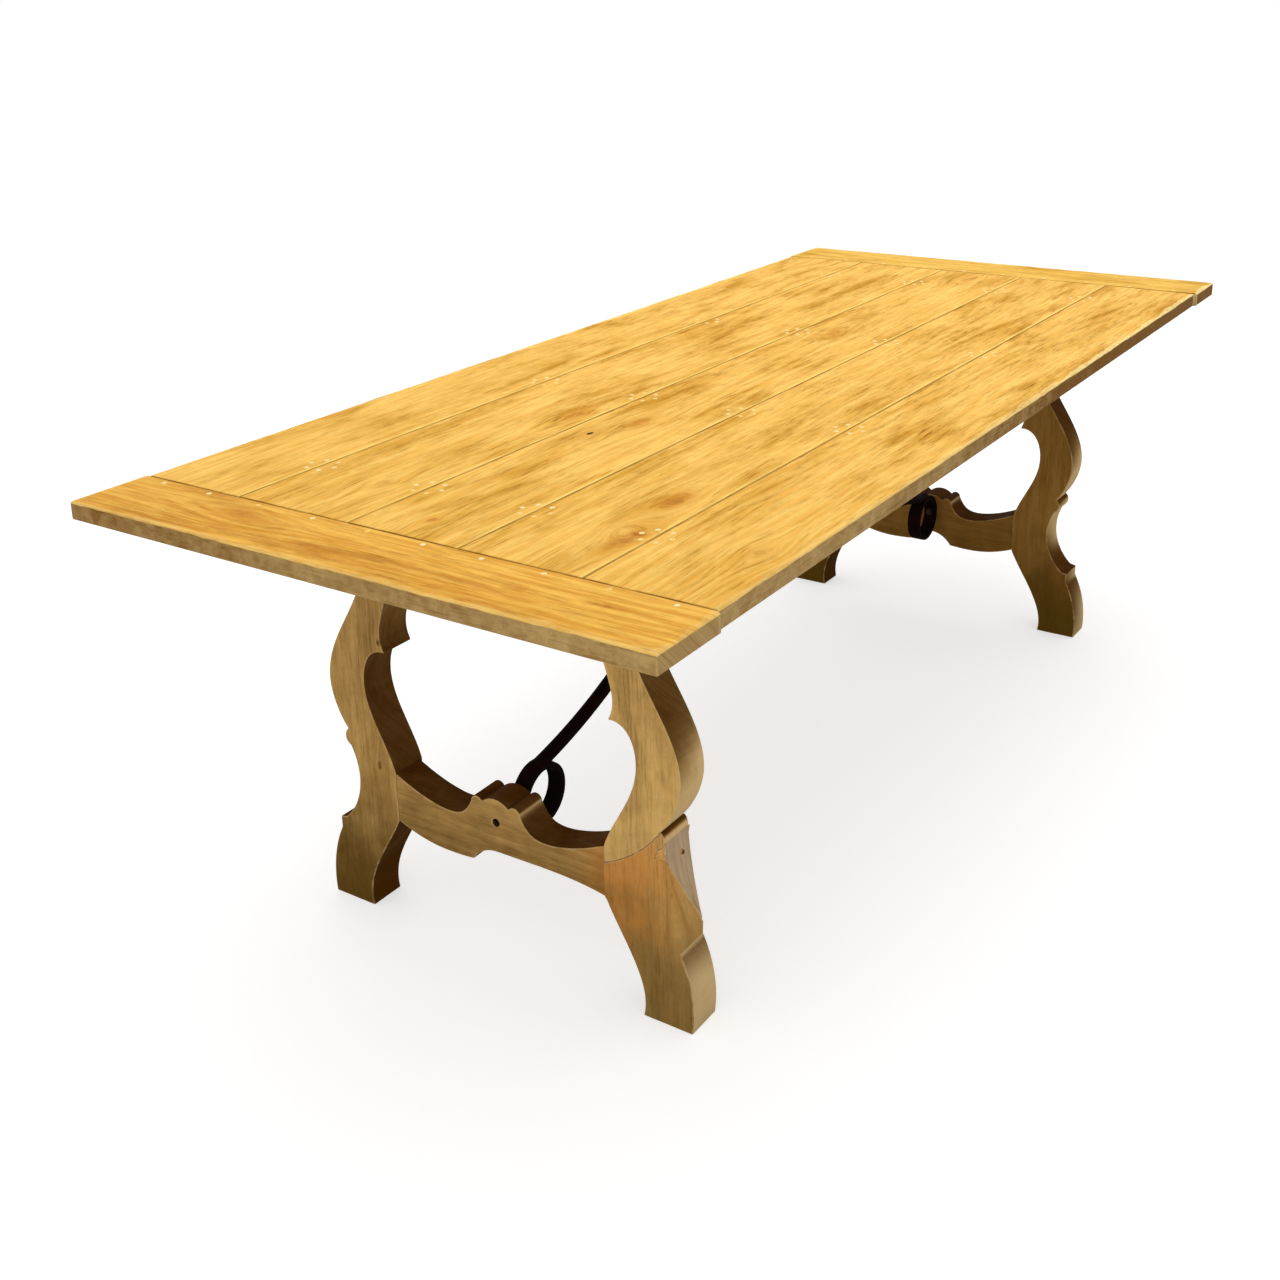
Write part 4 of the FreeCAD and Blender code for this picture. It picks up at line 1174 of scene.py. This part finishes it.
class TABLE_OT_stage(bpy.types.Operator):
    """Set the floor, the light and the camera"""

    bl_idname = "table.stage"
    bl_label = "Stage"

    def execute(self, context):
        scene = context.scene
        settings = scene.table_stage
        scene.view_settings.view_transform = "Standard"
        self.lay_floor(scene, settings)
        self.light(scene, settings)
        self.set_camera(scene, settings)
        return {"FINISHED"}

    def lay_floor(self, scene, settings):
        shape = bmesh.new()
        bmesh.ops.create_grid(shape, x_segments=1, y_segments=1, size=settings.floor_size / 2)
        mesh = bpy.data.meshes.new("floor")
        shape.to_mesh(mesh)
        shape.free()
        finish = Finish(bpy.data.materials.new("pale_floor"))
        matt = finish.add("ShaderNodeBsdfDiffuse", None, {"Color": paint(settings.floor)})
        seen = finish.add("ShaderNodeLightPath", output="Is Camera Ray")
        lift = finish.add("ShaderNodeEmission", None, {"Strength": seen * settings.floor_lift})
        both = finish.add("ShaderNodeAddShader", None, {0: matt, 1: lift})
        finish.add("ShaderNodeOutputMaterial", None, {"Surface": both})
        mesh.materials.append(finish.owner)
        floor = bpy.data.objects.new("floor", mesh)
        scene.collection.objects.link(floor)

    def light(self, scene, settings):
        scene.world = bpy.data.worlds.new("studio")
        finish = Finish(scene.world)
        seen = finish.larger(
            finish.add("ShaderNodeLightPath", output="Is Camera Ray"),
            finish.larger(
                finish.add("ShaderNodeLightPath", output="Is Glossy Ray"),
                finish.add("ShaderNodeLightPath", output="Is Transmission Ray"),
            ),
        )
        even = finish.add("ShaderNodeBackground", None, {"Color": WHITE, "Strength": settings.sky})
        shown = finish.add("ShaderNodeBackground", None, {"Color": WHITE, "Strength": SHOWN_STRENGTH})
        both = finish.add("ShaderNodeMixShader", None, {0: seen, 1: even, 2: shown})
        finish.add("ShaderNodeOutputWorld", None, {"Surface": both})
        key = (settings.key, settings.key_size, settings.key_place, settings.key_aim)
        fill = (settings.fill, settings.fill_size, settings.fill_place, settings.fill_aim)
        self.hang_lamp(scene, "key", *key)
        self.hang_lamp(scene, "fill", *fill)

    def hang_lamp(self, scene, name, power, size, place, aim):
        lamp = bpy.data.lights.new(name, "AREA")
        lamp.shape = "SQUARE"
        lamp.energy = power
        lamp.size = size
        hung = bpy.data.objects.new(name, lamp)
        hung.matrix_world = self.look(place, aim)
        scene.collection.objects.link(hung)

    def look(self, place, aim):
        """A place from which a lamp or camera looks at a point."""
        turn = (Vector(aim) - Vector(place)).to_track_quat("-Z", "Y")
        return Matrix.Translation(place) @ turn.to_matrix().to_4x4()

    def set_camera(self, scene, settings):
        data = bpy.data.cameras.new("camera")
        data.sensor_width = SENSOR_WIDTH
        data.lens = settings.camera_lens
        data.shift_y = settings.camera_shift
        camera = bpy.data.objects.new("camera", data)
        level = self.look(settings.camera_place, settings.camera_aim)
        camera.matrix_world = level @ Matrix.Rotation(settings.camera_roll, 4, "Z")
        scene.collection.objects.link(camera)
        scene.camera = camera


OPERATORS = (
    TABLE_OT_boards,
    TABLE_OT_breadboards,
    TABLE_OT_pegs,
    TABLE_OT_cross_pieces,
    TABLE_OT_trestles,
    TABLE_OT_mended_leg,
    TABLE_OT_stretchers,
    TABLE_OT_fastenings,
    TABLE_OT_stage,
)
SETTINGS = (
    ("table_top", TopSettings),
    ("table_trestles", TrestleSettings),
    ("table_metal", MetalSettings),
    ("table_stage", StageSettings),
)


class TABLE_PT_sidebar(bpy.types.Panel):
    """Lists the steps that dress the table and their settings"""

    bl_idname = "TABLE_PT_sidebar"
    bl_label = "Farmhouse table"
    bl_space_type = "VIEW_3D"
    bl_region_type = "UI"
    bl_category = "Table"

    def draw(self, context):
        for operator in OPERATORS:
            self.layout.operator(operator.bl_idname)
        for name, group in SETTINGS:
            box = self.layout.box()
            for setting in group.__annotations__:
                box.prop(getattr(context.scene, name), setting)


def register():
    for name, group in SETTINGS:
        bpy.utils.register_class(group)
        setattr(bpy.types.Scene, name, bpy.props.PointerProperty(type=group))
    for kind in (*OPERATORS, TABLE_PT_sidebar):
        bpy.utils.register_class(kind)


def unregister():
    for kind in reversed((*OPERATORS, TABLE_PT_sidebar)):
        bpy.utils.unregister_class(kind)
    for name, group in reversed(SETTINGS):
        delattr(bpy.types.Scene, name)
        bpy.utils.unregister_class(group)


def main():
    register()
    bpy.ops.table.boards()
    bpy.ops.table.breadboards()
    bpy.ops.table.pegs()
    bpy.ops.table.cross_pieces()
    bpy.ops.table.trestles()
    bpy.ops.table.mended_leg()
    bpy.ops.table.stretchers()
    bpy.ops.table.fastenings()
    bpy.ops.table.stage()
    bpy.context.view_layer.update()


if __name__ == "__main__":
    main()
